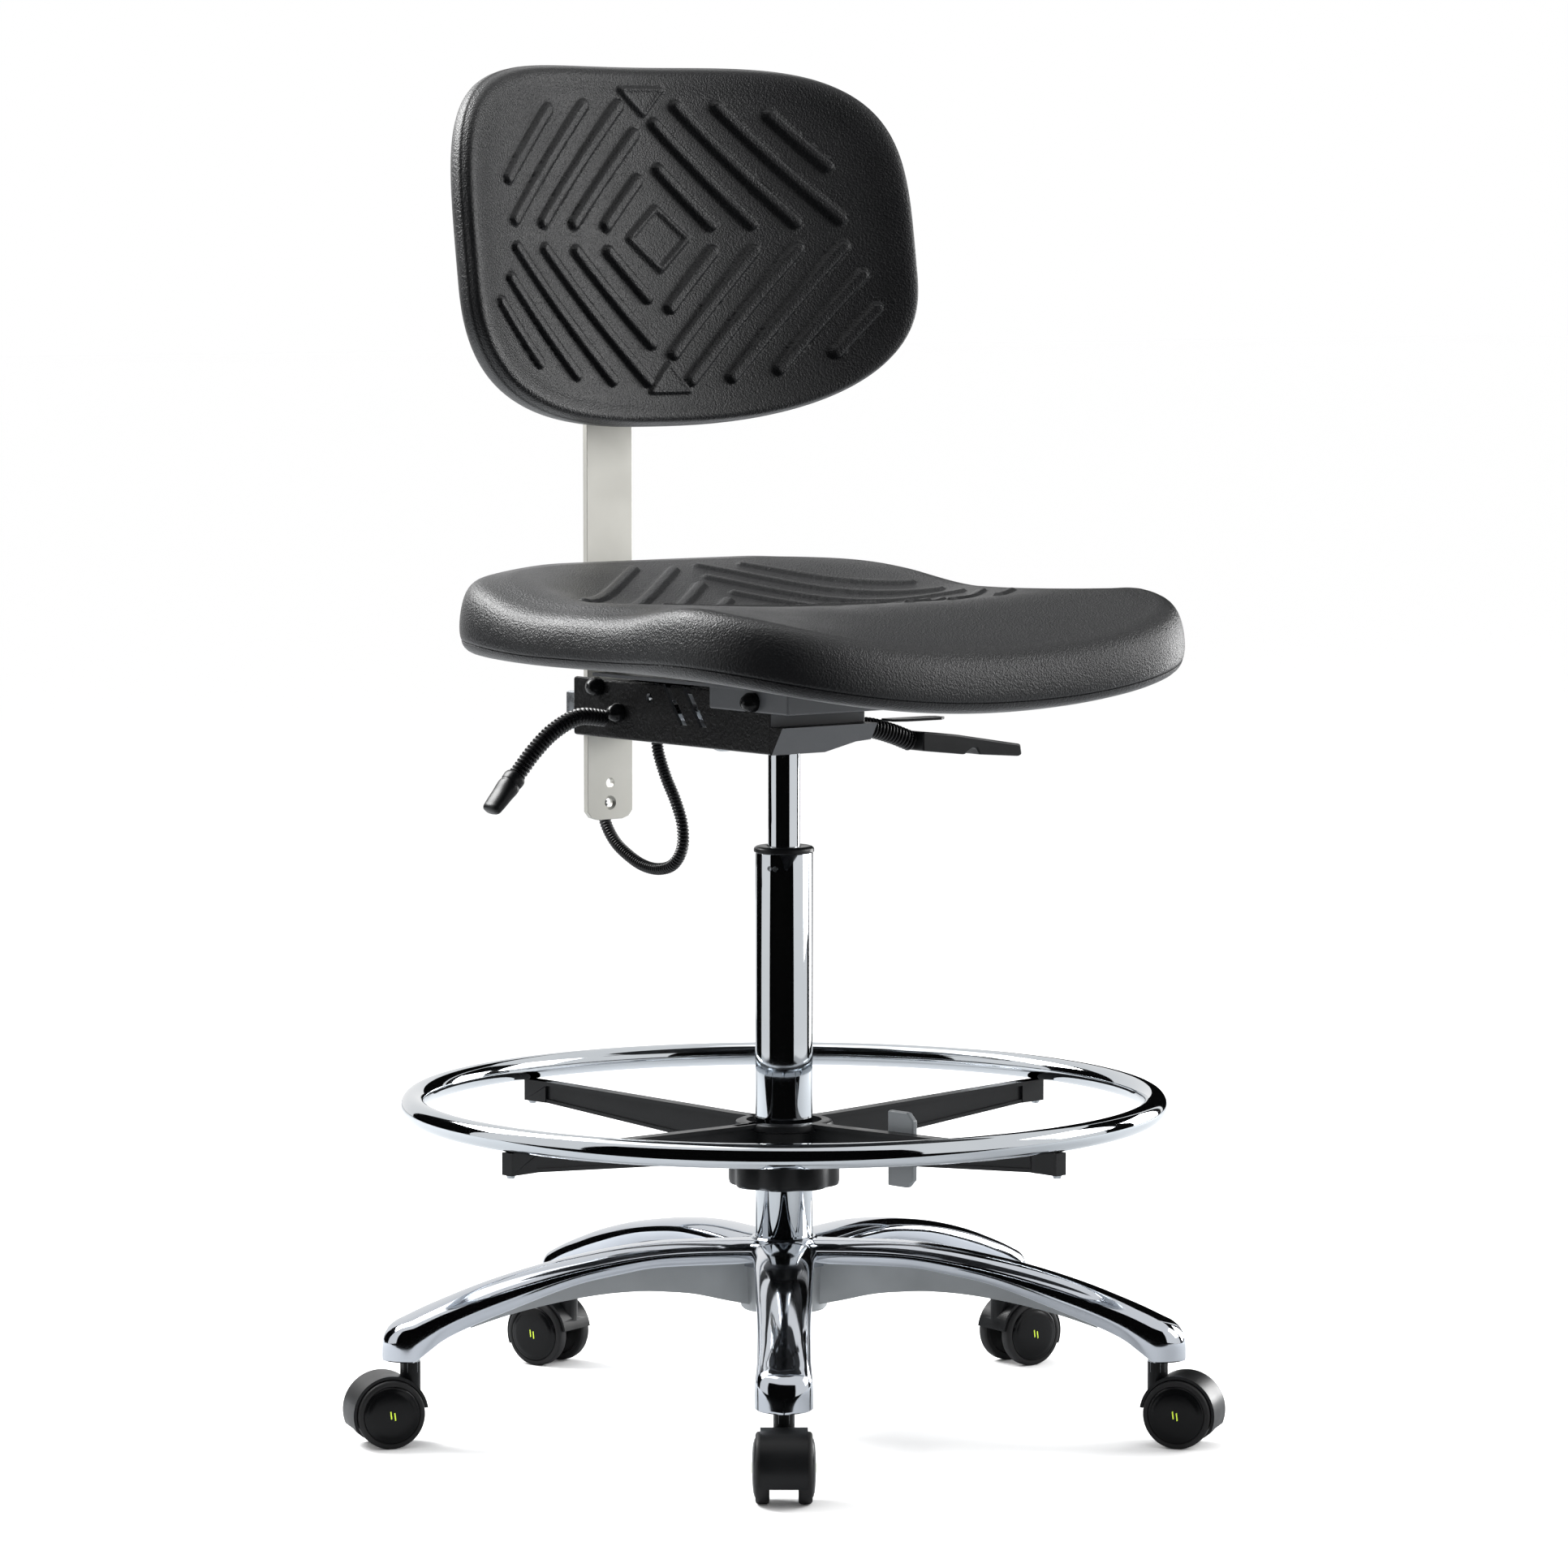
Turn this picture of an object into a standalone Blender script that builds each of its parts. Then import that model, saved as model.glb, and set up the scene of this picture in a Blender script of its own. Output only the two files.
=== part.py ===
"""Drafting chair: star base on casters, foot ring, gas lift, tilt mechanism, moulded seat and back.

Metres, +Z up. The chair faces -Y, and the sitter's left is +X. Everything is laid out around the
column axis, and the whole chair is then shifted so that its bounding box stands centred on the origin.
"""

from math import cos, pi, radians, sin, tan

import bmesh
import bpy
from mathutils import Matrix, Vector

# --- clearances ---------------------------------------------------------------------------------
GAP = 0.0003              # between pieces that touch
RUN = 0.0008              # between pieces that turn or slide past each other
PRESS = 0.00006           # round a pin or a sleeve that is pressed in

# --- facets of round pieces ---------------------------------------------------------------------
COLUMN_STEPS = 30
WHEEL_STEPS = 20
RING_STEPS = 52
BOLT_STEPS = 16
SMALL_STEPS = 12

# --- casters ------------------------------------------------------------------------------------
WHEEL_RADIUS = 0.0295
WHEEL_INNER = 0.0118           # half the gap between a pair of wheels
TREAD_WIDTH = 0.0114
WHEEL_DOME = 0.0030
CASTER_TRAIL = 0.0220
CASTER_TURNS = (0.0, 0.0, radians(-20.0), radians(20.0), 0.0)   # each caster from straight outwards
HOOD_HALF_WIDTH = 0.0195
HOOD_WALL = 0.0026
HOOD_OUTER = WHEEL_RADIUS + RUN + HOOD_WALL
HOOD_LOW_ANGLE = radians(-22.0)
HOOD_FRONT_ANGLE = radians(172.0)
WEB_RADIUS = 0.0115
AXLE_RADIUS = 0.0030
STEM_RADIUS = 0.0055
NECK_STEP = 0.0010             # the stem is this much slimmer inside the hood
COLLAR_RADIUS = 0.0088
COLLAR_HEIGHT = 0.0107
STEM_LENGTH = 0.0280           # inside the leg

# --- base and column ----------------------------------------------------------------------------
LEG_COUNT = 5
BASE_TURN = radians(-38.0)     # first leg, from the chair's front towards the sitter's right
PIVOT_RADIUS = 0.336           # column axis to caster stem
TIP_RADIUS = 0.0238            # round end of a leg
LEG_HALF_WIDTH = 0.0262
LEG_WAIST = 0.0222             # half width where a leg is slimmest, before its tip
LEG_UNDERSIDE = WHEEL_RADIUS + HOOD_OUTER + COLLAR_HEIGHT + GAP
CROWN_AT_TIP = LEG_UNDERSIDE + 0.0372
CROWN_AT_HUB = CROWN_AT_TIP + 0.0519
CROWN_SWELL = 0.0220           # how steeply a leg's top line first climbs from the hub
HUB_RADIUS = 0.0420
HUB_BOTTOM = LEG_UNDERSIDE + 0.0266
HUB_TOP = CROWN_AT_HUB - 0.0025
WEB_HALF = 0.0120              # cast web under each leg
TUBE_RADIUS = 0.0250
TUBE_WALL = 0.0015
TUBE_FLOOR = 0.0040            # plate across the tube's lower end
TUBE_BOTTOM = HUB_BOTTOM + 0.0020
TUBE_LENGTH = 0.3965
TUBE_TOP = TUBE_BOTTOM + TUBE_LENGTH
CAP_HEIGHT = 0.0052
BUSHING_LENGTH = 0.0650
BEARING_HEIGHT = 0.0120

# --- foot ring ----------------------------------------------------------------------------------
RING_RADIUS = 0.3218
RING_TUBE = 0.0105
RING_HEIGHT = 0.2803
SPOKE_COUNT = 4
SPOKE_HALF = 0.0060
SPOKE_DEPTH_HUB = 0.0340
SPOKE_DEPTH_END = 0.0190
SPOKE_OVERHANG = 0.0045
SPOKE_LEVEL_END = 0.0300       # each spoke is level over this much of its outer end
RING_HUB_RADIUS = 0.0430
RING_HUB_DROP = 0.0150         # from the ring's middle down to the hub's top
KNOB_RADIUS = 0.0485
KNOB_HEIGHT = 0.0230
KNOB_LOBES = 8
KNOB_SCALLOP = 0.0022
SCREW_SHANK = 0.0022
SCREW_HEAD = 0.0040
SCREW_HEAD_HEIGHT = 0.0025
LEVER_AT = 0.1340              # release lever's place along its spoke
LEVER_DROP = 0.0128            # from the ring's middle down to the lever's hinge, just over its spoke
LEVER_ABOVE = 0.0168           # how far the lever stands up over its hinge
LEVER_BELOW = 0.0482
LEVER_CORNER = 0.0070
LEVER_THICK = 0.0060
LEVER_LENGTH = 0.0300

# --- mechanism ----------------------------------------------------------------------------------
BOX_HALF = 0.0520              # channel's half width
BOX_FRONT = -0.0480
BOX_REAR = 0.2380
BOX_HEIGHT = 0.0520
BOX_BOTTOM = TUBE_TOP + 0.0895
BOX_TOP = BOX_BOTTOM + BOX_HEIGHT
SHEET = 0.0030
FLOOR_LIP = 0.0030             # strip of floor left along each side plate, behind its end
FLOOR_END = 0.0900             # the channel's floor stops here, and the back arm swings behind it
SOCKET_END = 0.0300            # rear of the solid block that holds the gas cylinder
SLOTS = (0.1000, 0.0720)       # where the two slanted slots reach the channel's top edge
SLOT_DEPTH = 0.0360
BRACKET_HALF = BOX_HALF + 0.0070
BRACKET_FRONT = -0.0800
BRACKET_REAR = 0.0300
BRACKET_TOP = BOX_TOP + 0.0100
BRACKET_DROP = 0.0260
WING_HALF = BRACKET_HALF + 0.0360
WING_REAR = 0.1500
TILT_AXLE_Y = -0.0340
TILT_AXLE_Z = BOX_TOP - 0.0070
AXLE_PIN = 0.0050
CAP_RADIUS = 0.0085
CAP_DOME = 0.0130
BACK_PIVOT_Y = 0.1680
BACK_PIVOT_Z = BOX_BOTTOM + 0.0240
STOP_PIN_Y = 0.1990
STOP_PIN_Z = BOX_BOTTOM + 0.0450
GAUGE_HOLE = 0.0040            # plain round hole in the side plates
GAUGE_HOLE_Y = 0.1250
GAUGE_HOLE_Z = BOX_BOTTOM + 0.0390

# --- gas lift -----------------------------------------------------------------------------------
CYLINDER_RADIUS = 0.0140
CYLINDER_WALL = 0.0015
CYLINDER_TOP = BOX_TOP
CYLINDER_BOTTOM = CYLINDER_TOP - 0.3850
GLAND_HEIGHT = 0.0180
ROD_RADIUS = 0.0050
ROD_TOP = CYLINDER_BOTTOM + 0.2150
ROD_PISTON = 0.0100            # height of the piston
VALVE_RADIUS = 0.0040
VALVE_PROUD = 0.0040
VALVE_LENGTH = 0.0160

# --- back support -------------------------------------------------------------------------------
BAR_HALF = 0.0250
BAR_THICK = 0.0060
BAR_FRONT = 0.2530
BAR_BOTTOM = BOX_BOTTOM - 0.0800
BAR_TOP = BAR_BOTTOM + 0.5720
BAR_CORNER = 0.0070
BAR_HOLE = 0.0042
ARM_HALF = BAR_HALF + 0.0080
ARM_WALL = 0.0080
ARM_BOTTOM = BOX_BOTTOM + 0.0020
ARM_TOP = ARM_BOTTOM + 0.0340
ARM_FRONT = BACK_PIVOT_Y - 0.0200
CLAMP_WALL = 0.0160
CLAMP_SCREW = 0.0040
BOLT_RADIUS = 0.0040
BOLT_GRIP = 0.0060
BACK_BOLT_LOW = BAR_TOP - 0.1200
BACK_BOLT_HIGH = BAR_TOP - 0.0400
BLOCK_HALF = 0.0300            # bracket between the bar and the backrest
BLOCK_REACH = 0.0300           # how far it goes past its bolts

# --- seat and back cushions ---------------------------------------------------------------------
SEAT_HALF_WIDTH = 0.2620
SEAT_HALF_DEPTH = 0.2580
SEAT_REAR = 0.2070
SEAT_CENTRE_Y = SEAT_REAR - SEAT_HALF_DEPTH
SEAT_UNDERSIDE = BRACKET_TOP + GAP
SEAT_CREST = SEAT_UNDERSIDE + 0.0767
SEAT_POWER = 4.2               # how square the seat's outline is
BACK_HALF_WIDTH = 0.2400
BACK_RISE = 0.1930             # from the widest level to the top edge, along the slope
BACK_DROP = 0.1250             # from the widest level to the bottom edge
BACK_LEVEL = BACK_BOLT_LOW + 0.0280   # height of the widest level
BACK_THICK = 0.0420
BACK_FRONT_Y = BAR_FRONT - 0.0710     # front surface on the middle line at that level
BACK_SLOPE = radians(8.0)
BACK_WRAP = 0.0640             # how far the sides reach forward

# --- levers and cable ---------------------------------------------------------------------------
NECK_RADIUS = 0.0070
COIL_RADIUS = 0.0090
GRIP_LENGTH = 0.0420
PADDLE_LENGTH = 0.1130
PADDLE_WIDTH = 0.0300
TILT_LEVER_Z = BOX_BOTTOM + 0.0260
TILT_LEVER_THICK = 0.0022
TILT_LEVER_Y = -0.0660
CABLE_RADIUS = 0.0055
SIDE_ROOM = 0.0040             # between the channel's side and the root of a lever
# the two side levers, as distances outwards from their roots, places along the chair, and heights
# above the channel's floor
NECK_ROUTE = ((0.000, 0.184, 0.0180), (0.029, 0.184, 0.0205), (0.056, 0.184, 0.0095),
              (0.077, 0.184, -0.0070), (0.096, 0.184, -0.0270))
COIL_ROUTE = ((0.000, -0.020, 0.0180), (0.024, -0.021, 0.0155), (0.046, -0.022, 0.0095),
              (0.065, -0.023, 0.0025))
# the cable's own route, in the chair's frame
CABLE_ROUTE = ((-0.0020, 0.1800, 0.5888), (-0.0020, 0.1785, 0.5740), (-0.0015, 0.1680, 0.5520),
               (-0.0008, 0.1550, 0.5320), (0.0000, 0.1460, 0.5110), (0.0010, 0.1475, 0.4900),
               (0.0020, 0.1620, 0.4745), (0.0030, 0.1850, 0.4685), (0.0040, 0.2100, 0.4700),
               (0.0050, 0.2340, 0.4775), (0.0060, 0.2545, 0.4880), (0.0070, 0.2700, 0.5040),
               (0.0080, 0.2785, 0.5260), (0.0088, 0.2790, 0.5500), (0.0090, 0.2715, 0.5720),
               (0.0090, 0.2680, 0.5888))

FINISH = {
    # name: (linear colour, metallic, roughness)
    "polished_aluminium": ((0.72, 0.73, 0.75), 1.0, 0.12),
    "chrome_plate": ((0.80, 0.81, 0.83), 1.0, 0.06),
    "nickel_plate": ((0.58, 0.57, 0.52), 1.0, 0.34),
    "zinc_plate": ((0.56, 0.58, 0.60), 1.0, 0.38),
    "textured_black_paint": ((0.022, 0.022, 0.023), 0.0, 0.55),
    "black_nylon": ((0.016, 0.016, 0.018), 0.0, 0.42),
    "grey_nylon": ((0.20, 0.21, 0.22), 0.0, 0.50),
    "black_polyurethane": ((0.013, 0.013, 0.014), 0.0, 0.48),
    "black_rubber": ((0.014, 0.014, 0.014), 0.0, 0.60),
}


# --- scene helpers ------------------------------------------------------------------------------
def clear_scene():
    for obj in list(bpy.data.objects):
        bpy.data.objects.remove(obj)


def new_collection(name):
    collection = bpy.data.collections.new(name)
    bpy.context.scene.collection.children.link(collection)
    return collection


def principled(name):
    """The finish's material, made once."""
    found = bpy.data.materials.get(name)
    if found:
        return found
    colour, metallic, roughness = FINISH[name]
    material = bpy.data.materials.new(name)
    material.use_nodes = True
    shader = material.node_tree.nodes["Principled BSDF"]
    shader.inputs["Base Color"].default_value = (*colour, 1.0)
    shader.inputs["Metallic"].default_value = metallic
    shader.inputs["Roughness"].default_value = roughness
    return material


def add_object(name, data, finish=None):
    """A named object in the part's collection, or a cutter when it has no finish."""
    obj = bpy.data.objects.new(name, data)
    if finish:
        PARTS.objects.link(obj)
        own = principled(finish).copy()
        own.name = name
        data.materials.append(own)
    else:
        CUTTERS.objects.link(obj)
        obj.hide_render = True
        obj.display_type = "WIRE"
    return obj


def mesh_object(name, build, finish=None, smooth=True):
    """An object from a function that fills a bmesh."""
    bm = bmesh.new()
    build(bm)
    bmesh.ops.recalc_face_normals(bm, faces=bm.faces)
    mesh = bpy.data.meshes.new(name)
    bm.to_mesh(mesh)
    bm.free()
    obj = add_object(name, mesh, finish)
    if smooth:
        mesh.shade_smooth()
        mesh.set_sharp_from_angle(angle=radians(35.0))
    return obj


def frozen(obj, finish=None):
    """The object's evaluated shape as a plain mesh object of the same name, with its doubles merged."""
    depsgraph = bpy.context.evaluated_depsgraph_get()
    mesh = bpy.data.meshes.new_from_object(obj.evaluated_get(depsgraph))
    name = obj.name
    matrix = obj.matrix_world.copy()
    bpy.data.objects.remove(obj)
    bm = bmesh.new()
    bm.from_mesh(mesh)
    bmesh.ops.remove_doubles(bm, verts=bm.verts, dist=0.000002)
    bmesh.ops.recalc_face_normals(bm, faces=bm.faces)
    bm.to_mesh(mesh)
    bm.free()
    mesh.materials.clear()
    made = add_object(name, mesh, finish)
    made.matrix_world = matrix
    mesh.shade_smooth()
    mesh.set_sharp_from_angle(angle=radians(35.0))
    return made


def empty(name, place, parent=None):
    """An empty at a world position, which holds a joint's axis."""
    obj = bpy.data.objects.new(name, None)
    PARTS.objects.link(obj)
    obj.empty_display_size = 0.03
    if parent:
        obj.parent = parent
        obj.location = Vector(place) - world_place(parent)
    else:
        obj.location = place
    return obj


def world_place(obj):
    """An unturned object's place in the world, from its own and its parents' locations."""
    place = Vector(obj.location)
    while obj.parent:
        obj = obj.parent
        place = place + Vector(obj.location)
    return place


def hang(obj, parent):
    """Parents an object that is already in its place, without moving it."""
    obj.parent = parent
    obj.matrix_parent_inverse = Matrix.Translation(-world_place(parent))
    return obj


# --- shape helpers ------------------------------------------------------------------------------
def turned(name, profile, finish, steps=20, matrix=None):
    """A profile of (radius, height) points, top to bottom on its outer side, turned about Z."""
    mesh = bpy.data.meshes.new(name)
    points = [(radius, 0.0, height) for radius, height in profile]
    edges = [(i, i + 1) for i in range(len(points) - 1)]
    if profile[0] != profile[-1] and (profile[0][0] > 0.0 or profile[-1][0] > 0.0):
        edges.append((len(points) - 1, 0))
    if profile[0] == profile[-1]:
        points.pop()
        edges[-1] = (len(points) - 1, 0)
    mesh.from_pydata(points, edges, [])
    obj = add_object(name, mesh, finish)
    screw = obj.modifiers.new("Turn", "SCREW")
    screw.steps = steps
    screw.render_steps = steps
    screw.use_merge_vertices = True
    screw.merge_threshold = 0.00001
    screw.use_smooth_shade = True
    if matrix:
        obj.matrix_world = matrix
    return frozen(obj, finish)


def tube_points(route, spacing):
    """Points at an even spacing along the smooth curve through the route."""
    knots = [Vector(p) for p in route]
    fine = []
    for i in range(len(knots) - 1):
        before = knots[i - 1] if i else knots[0] * 2 - knots[1]
        after = knots[i + 2] if i + 2 < len(knots) else knots[-1] * 2 - knots[-2]
        for step in range(20):
            t = step / 20
            fine.append(catmull_rom(before, knots[i], knots[i + 1], after, t))
    fine.append(knots[-1])
    lengths = [0.0]
    for a, b in zip(fine, fine[1:]):
        lengths.append(lengths[-1] + (b - a).length)
    count = max(2, round(lengths[-1] / spacing))
    picked = []
    at = 0
    for i in range(count + 1):
        want = lengths[-1] * i / count
        while at < len(fine) - 2 and lengths[at + 1] < want:
            at += 1
        share = (want - lengths[at]) / (lengths[at + 1] - lengths[at])
        picked.append(fine[at].lerp(fine[at + 1], share))
    return picked


def catmull_rom(a, b, c, d, t):
    """A point on the smooth curve between b and c."""
    return (2 * b + (c - a) * t + (2 * a - 5 * b + 4 * c - d) * t ** 2
            + (3 * b - a - 3 * c + d) * t ** 3) / 2


def tube(name, points, radius, finish, resolution=3, cyclic=False):
    """A round tube along points, as a curve with filled ends, made a mesh."""
    curve = bpy.data.curves.new(name, "CURVE")
    curve.dimensions = "3D"
    curve.bevel_depth = radius
    curve.bevel_resolution = resolution
    curve.use_fill_caps = not cyclic
    spline = curve.splines.new("POLY")
    spline.points.add(len(points) - 1)
    for point, place in zip(spline.points, points):
        point.co = (*place, 1.0)
    spline.use_cyclic_u = cyclic
    return frozen(add_object(name, curve, finish), finish)


def plate(name, outline, thickness, finish, matrix=None, holes=()):
    """A flat outline of (x, y) points, extruded to a thickness about its plane, made a mesh."""
    curve = bpy.data.curves.new(name, "CURVE")
    curve.dimensions = "2D"
    curve.fill_mode = "BOTH"
    curve.extrude = thickness / 2
    for points in (outline, *holes):
        spline = curve.splines.new("POLY")
        spline.points.add(len(points) - 1)
        for point, (x, y) in zip(spline.points, points):
            point.co = (x, y, 0.0, 1.0)
        spline.use_cyclic_u = True
    obj = add_object(name, curve, finish)
    if matrix:
        obj.matrix_world = matrix
        bpy.context.view_layer.update()
    return frozen(obj, finish)


def arc(centre, radius, start, end, steps):
    """Points on an arc, ends included."""
    return [(centre[0] + radius * cos(start + (end - start) * i / steps),
             centre[1] + radius * sin(start + (end - start) * i / steps)) for i in range(steps + 1)]


def circle(centre, radius, steps=BOLT_STEPS):
    return arc(centre, radius, 0.0, 2 * pi, steps)[:-1]


def box(name, low, high, finish=None, bevel=0.0):
    """A box between two corners, its upright and level edges rounded by a bevel."""
    low = Vector(low)
    high = Vector(high)

    def build(bm):
        bmesh.ops.create_cube(bm, size=1.0)
        bmesh.ops.scale(bm, vec=high - low, verts=bm.verts)
        bmesh.ops.translate(bm, vec=(low + high) / 2, verts=bm.verts)

    obj = mesh_object(name, build, finish)
    if bevel:
        rounding = obj.modifiers.new("Bevel", "BEVEL")
        rounding.width = bevel
        rounding.segments = 2
        obj = frozen(obj, finish)
    return obj


def cylinder(name, start, end, radius, finish=None, steps=20, radius_end=None):
    """A cylinder or cone between two points."""
    start = Vector(start)
    end = Vector(end)
    axis = end - start
    turn = axis.to_track_quat("Z", "Y").to_matrix().to_4x4()

    def build(bm):
        bmesh.ops.create_cone(bm, cap_ends=True, segments=steps, radius1=radius,
                              radius2=radius if radius_end is None else radius_end, depth=axis.length,
                              matrix=Matrix.Translation((start + end) / 2) @ turn)

    return mesh_object(name, build, finish)


def loft(name, rings, finish=None):
    """Closed rings of equal length joined in order, with both ends filled."""

    def build(bm):
        made = [[bm.verts.new(point) for point in ring] for ring in rings]
        for low, high in zip(made, made[1:]):
            for i in range(len(low)):
                j = (i + 1) % len(low)
                bm.faces.new((low[i], low[j], high[j], high[i]))
        bm.faces.new(made[0])
        bm.faces.new(made[-1])

    return mesh_object(name, build, finish)


def combine(target, tool, operation, finish):
    """The target cut or joined by the tool, which is used up."""
    change = target.modifiers.new(operation.title(), "BOOLEAN")
    change.operation = operation
    change.object = tool
    change.solver = "EXACT"
    bpy.context.view_layer.update()
    done = frozen(target, finish)
    bpy.data.objects.remove(tool)
    return done


def turn_about_column(angle):
    return Matrix.Rotation(angle, 4, "Z")


def leg_angle(index):
    """Direction of a leg in the plan, measured from +X."""
    return BASE_TURN - pi / 2 + index * 2 * pi / LEG_COUNT


def smooth_step(value, low, high):
    share = min(max((value - low) / (high - low), 0.0), 1.0)
    return share * share * (3 - 2 * share)


# --- base ---------------------------------------------------------------------------------------
def crown_height(radius):
    """Height of a leg's top line: level near the hub, then falling in a long arc to the tip."""
    reach = PIVOT_RADIUS - HUB_RADIUS
    share = min(max((radius - HUB_RADIUS) / reach, 0.0), 1.2)
    fall = CROWN_AT_HUB - CROWN_AT_TIP
    return CROWN_AT_HUB + CROWN_SWELL * share - (fall + CROWN_SWELL) * share ** 2


def leg_section(radius, half, crown, rim):
    """An arched section across a leg: upright sides under a flattened round top."""
    shoulder = rim + 0.45 * (crown - rim)
    ring = [(radius, half * 0.86, rim), (radius, half, rim + 0.15 * (crown - rim))]
    for step in range(6):
        angle = pi * step / 5
        ring.append((radius, half * cos(angle), shoulder + (crown - shoulder) * sin(angle) ** 0.8))
    ring += [(radius, -half, rim + 0.15 * (crown - rim)), (radius, -half * 0.86, rim)]
    return ring


def star_base():
    reach = PIVOT_RADIUS
    stations = []
    for share in (0.06, 0.20, 0.38, 0.54, 0.70, 0.84, 0.93):
        radius = reach * share
        half = LEG_HALF_WIDTH + (LEG_WAIST - LEG_HALF_WIDTH) * smooth_step(share, 0.3, 0.9)
        crown = crown_height(radius)
        rim_drop = 0.0195 + 0.0075 * smooth_step(share, 0.5, 0.95)
        stations.append((radius, half, crown, crown - rim_drop))
    stations.append((reach, TIP_RADIUS * 0.99, CROWN_AT_TIP - 0.0015, LEG_UNDERSIDE + 0.0150))
    stations.append((reach + TIP_RADIUS * 0.55, TIP_RADIUS * 0.80, CROWN_AT_TIP - 0.008,
                     LEG_UNDERSIDE + 0.0120))
    hub_profile = [(0.0, HUB_TOP), (HUB_RADIUS - 0.004, HUB_TOP), (HUB_RADIUS, HUB_TOP - 0.006),
                   (HUB_RADIUS - 0.002, HUB_BOTTOM), (0.0, HUB_BOTTOM)]
    base = turned("star_base", hub_profile, "polished_aluminium", COLUMN_STEPS)
    for index in range(LEG_COUNT):
        turn = turn_about_column(leg_angle(index))
        rings = [[turn @ Vector(p) for p in leg_section(*station)] for station in stations]
        base = combine(base, loft("leg", rings), "UNION", "polished_aluminium")
        tip = turned("tip", [(0.0, CROWN_AT_TIP - 0.0008), (TIP_RADIUS * 0.55, CROWN_AT_TIP - 0.0035),
                             (TIP_RADIUS * 0.86, CROWN_AT_TIP - 0.0105), (TIP_RADIUS, CROWN_AT_TIP - 0.0200),
                             (TIP_RADIUS + 0.0004, LEG_UNDERSIDE), (0.0, LEG_UNDERSIDE)], None, 20,
                     turn @ Matrix.Translation((reach, 0.0, 0.0)))
        base = combine(base, tip, "UNION", "polished_aluminium")
        web_line = [(reach * share, HUB_BOTTOM + rise) for share, rise in
                    ((0.09, 0.0055), (0.256, 0.0180), (0.402, 0.0226), (0.551, 0.0203), (0.685, 0.0140),
                     (0.780, 0.0135))]
        upper_line = [(radius, crown_height(radius) - 0.008) for radius, _ in reversed(web_line)]
        upright = turn @ Matrix.Rotation(pi / 2, 4, "X")
        web = plate("web", web_line + upper_line, 2 * WEB_HALF, None, upright)
        base = combine(base, web, "UNION", "polished_aluminium")
        at = turn @ Vector((reach, 0.0, 0.0))
        socket = cylinder("socket", at + Vector((0, 0, LEG_UNDERSIDE - 0.010)),
                          at + Vector((0, 0, LEG_UNDERSIDE + STEM_LENGTH + GAP)), STEM_RADIUS + GAP,
                          steps=SMALL_STEPS)
        base = combine(base, socket, "DIFFERENCE", "polished_aluminium")
    bore = cylinder("bore", (0, 0, HUB_BOTTOM - 0.02), (0, 0, HUB_TOP + 0.02), TUBE_RADIUS + GAP,
                    steps=COLUMN_STEPS)
    return combine(base, bore, "DIFFERENCE", "polished_aluminium")


def column_pieces():
    inner = TUBE_RADIUS - TUBE_WALL
    tube_profile = [(inner, TUBE_TOP), (TUBE_RADIUS, TUBE_TOP), (TUBE_RADIUS, TUBE_BOTTOM),
                    (ROD_RADIUS + 0.0015, TUBE_BOTTOM), (ROD_RADIUS + 0.0015, TUBE_BOTTOM + TUBE_FLOOR),
                    (inner, TUBE_BOTTOM + TUBE_FLOOR), (inner, TUBE_TOP)]
    column_tube = turned("column_tube", tube_profile, "chrome_plate", COLUMN_STEPS)
    cap_low = TUBE_TOP + GAP
    cap_high = cap_low + CAP_HEIGHT
    bore = CYLINDER_RADIUS + GAP
    rim = TUBE_RADIUS + 0.0012
    cap_profile = [(bore + GAP, cap_high), (rim - 0.0032, cap_high), (rim, cap_high - 0.0015),
                   (rim, cap_low), (bore + GAP, cap_low), (bore + GAP, cap_high)]
    cap = turned("column_cap", cap_profile, "black_nylon", COLUMN_STEPS)
    outer = inner - GAP
    bushing_low = TUBE_TOP - BUSHING_LENGTH
    bushing_profile = [(bore, TUBE_TOP), (outer, TUBE_TOP), (outer, bushing_low), (bore, bushing_low),
                       (bore, TUBE_TOP)]
    bushing = turned("guide_bushing", bushing_profile, "grey_nylon", COLUMN_STEPS)
    return [column_tube, cap, bushing]


def rod_pieces():
    floor = TUBE_BOTTOM + TUBE_FLOOR
    low = floor + GAP
    high = low + BEARING_HEIGHT
    inner = TUBE_RADIUS - TUBE_WALL
    bore = ROD_RADIUS + PRESS
    bearing_profile = [(bore, high), (inner - 0.004, high), (inner - 0.004, low), (bore, low), (bore, high)]
    bearing = turned("thrust_bearing", bearing_profile, "zinc_plate")
    piston = CYLINDER_RADIUS - CYLINDER_WALL - RUN / 2
    rod_profile = [(0.0, ROD_TOP), (piston, ROD_TOP), (piston, ROD_TOP - ROD_PISTON),
                   (ROD_RADIUS, ROD_TOP - ROD_PISTON),
                   (ROD_RADIUS, TUBE_BOTTOM - 0.003), (0.0, TUBE_BOTTOM - 0.003)]
    rod = turned("piston_rod", rod_profile, "chrome_plate")
    return [bearing, rod]


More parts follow.
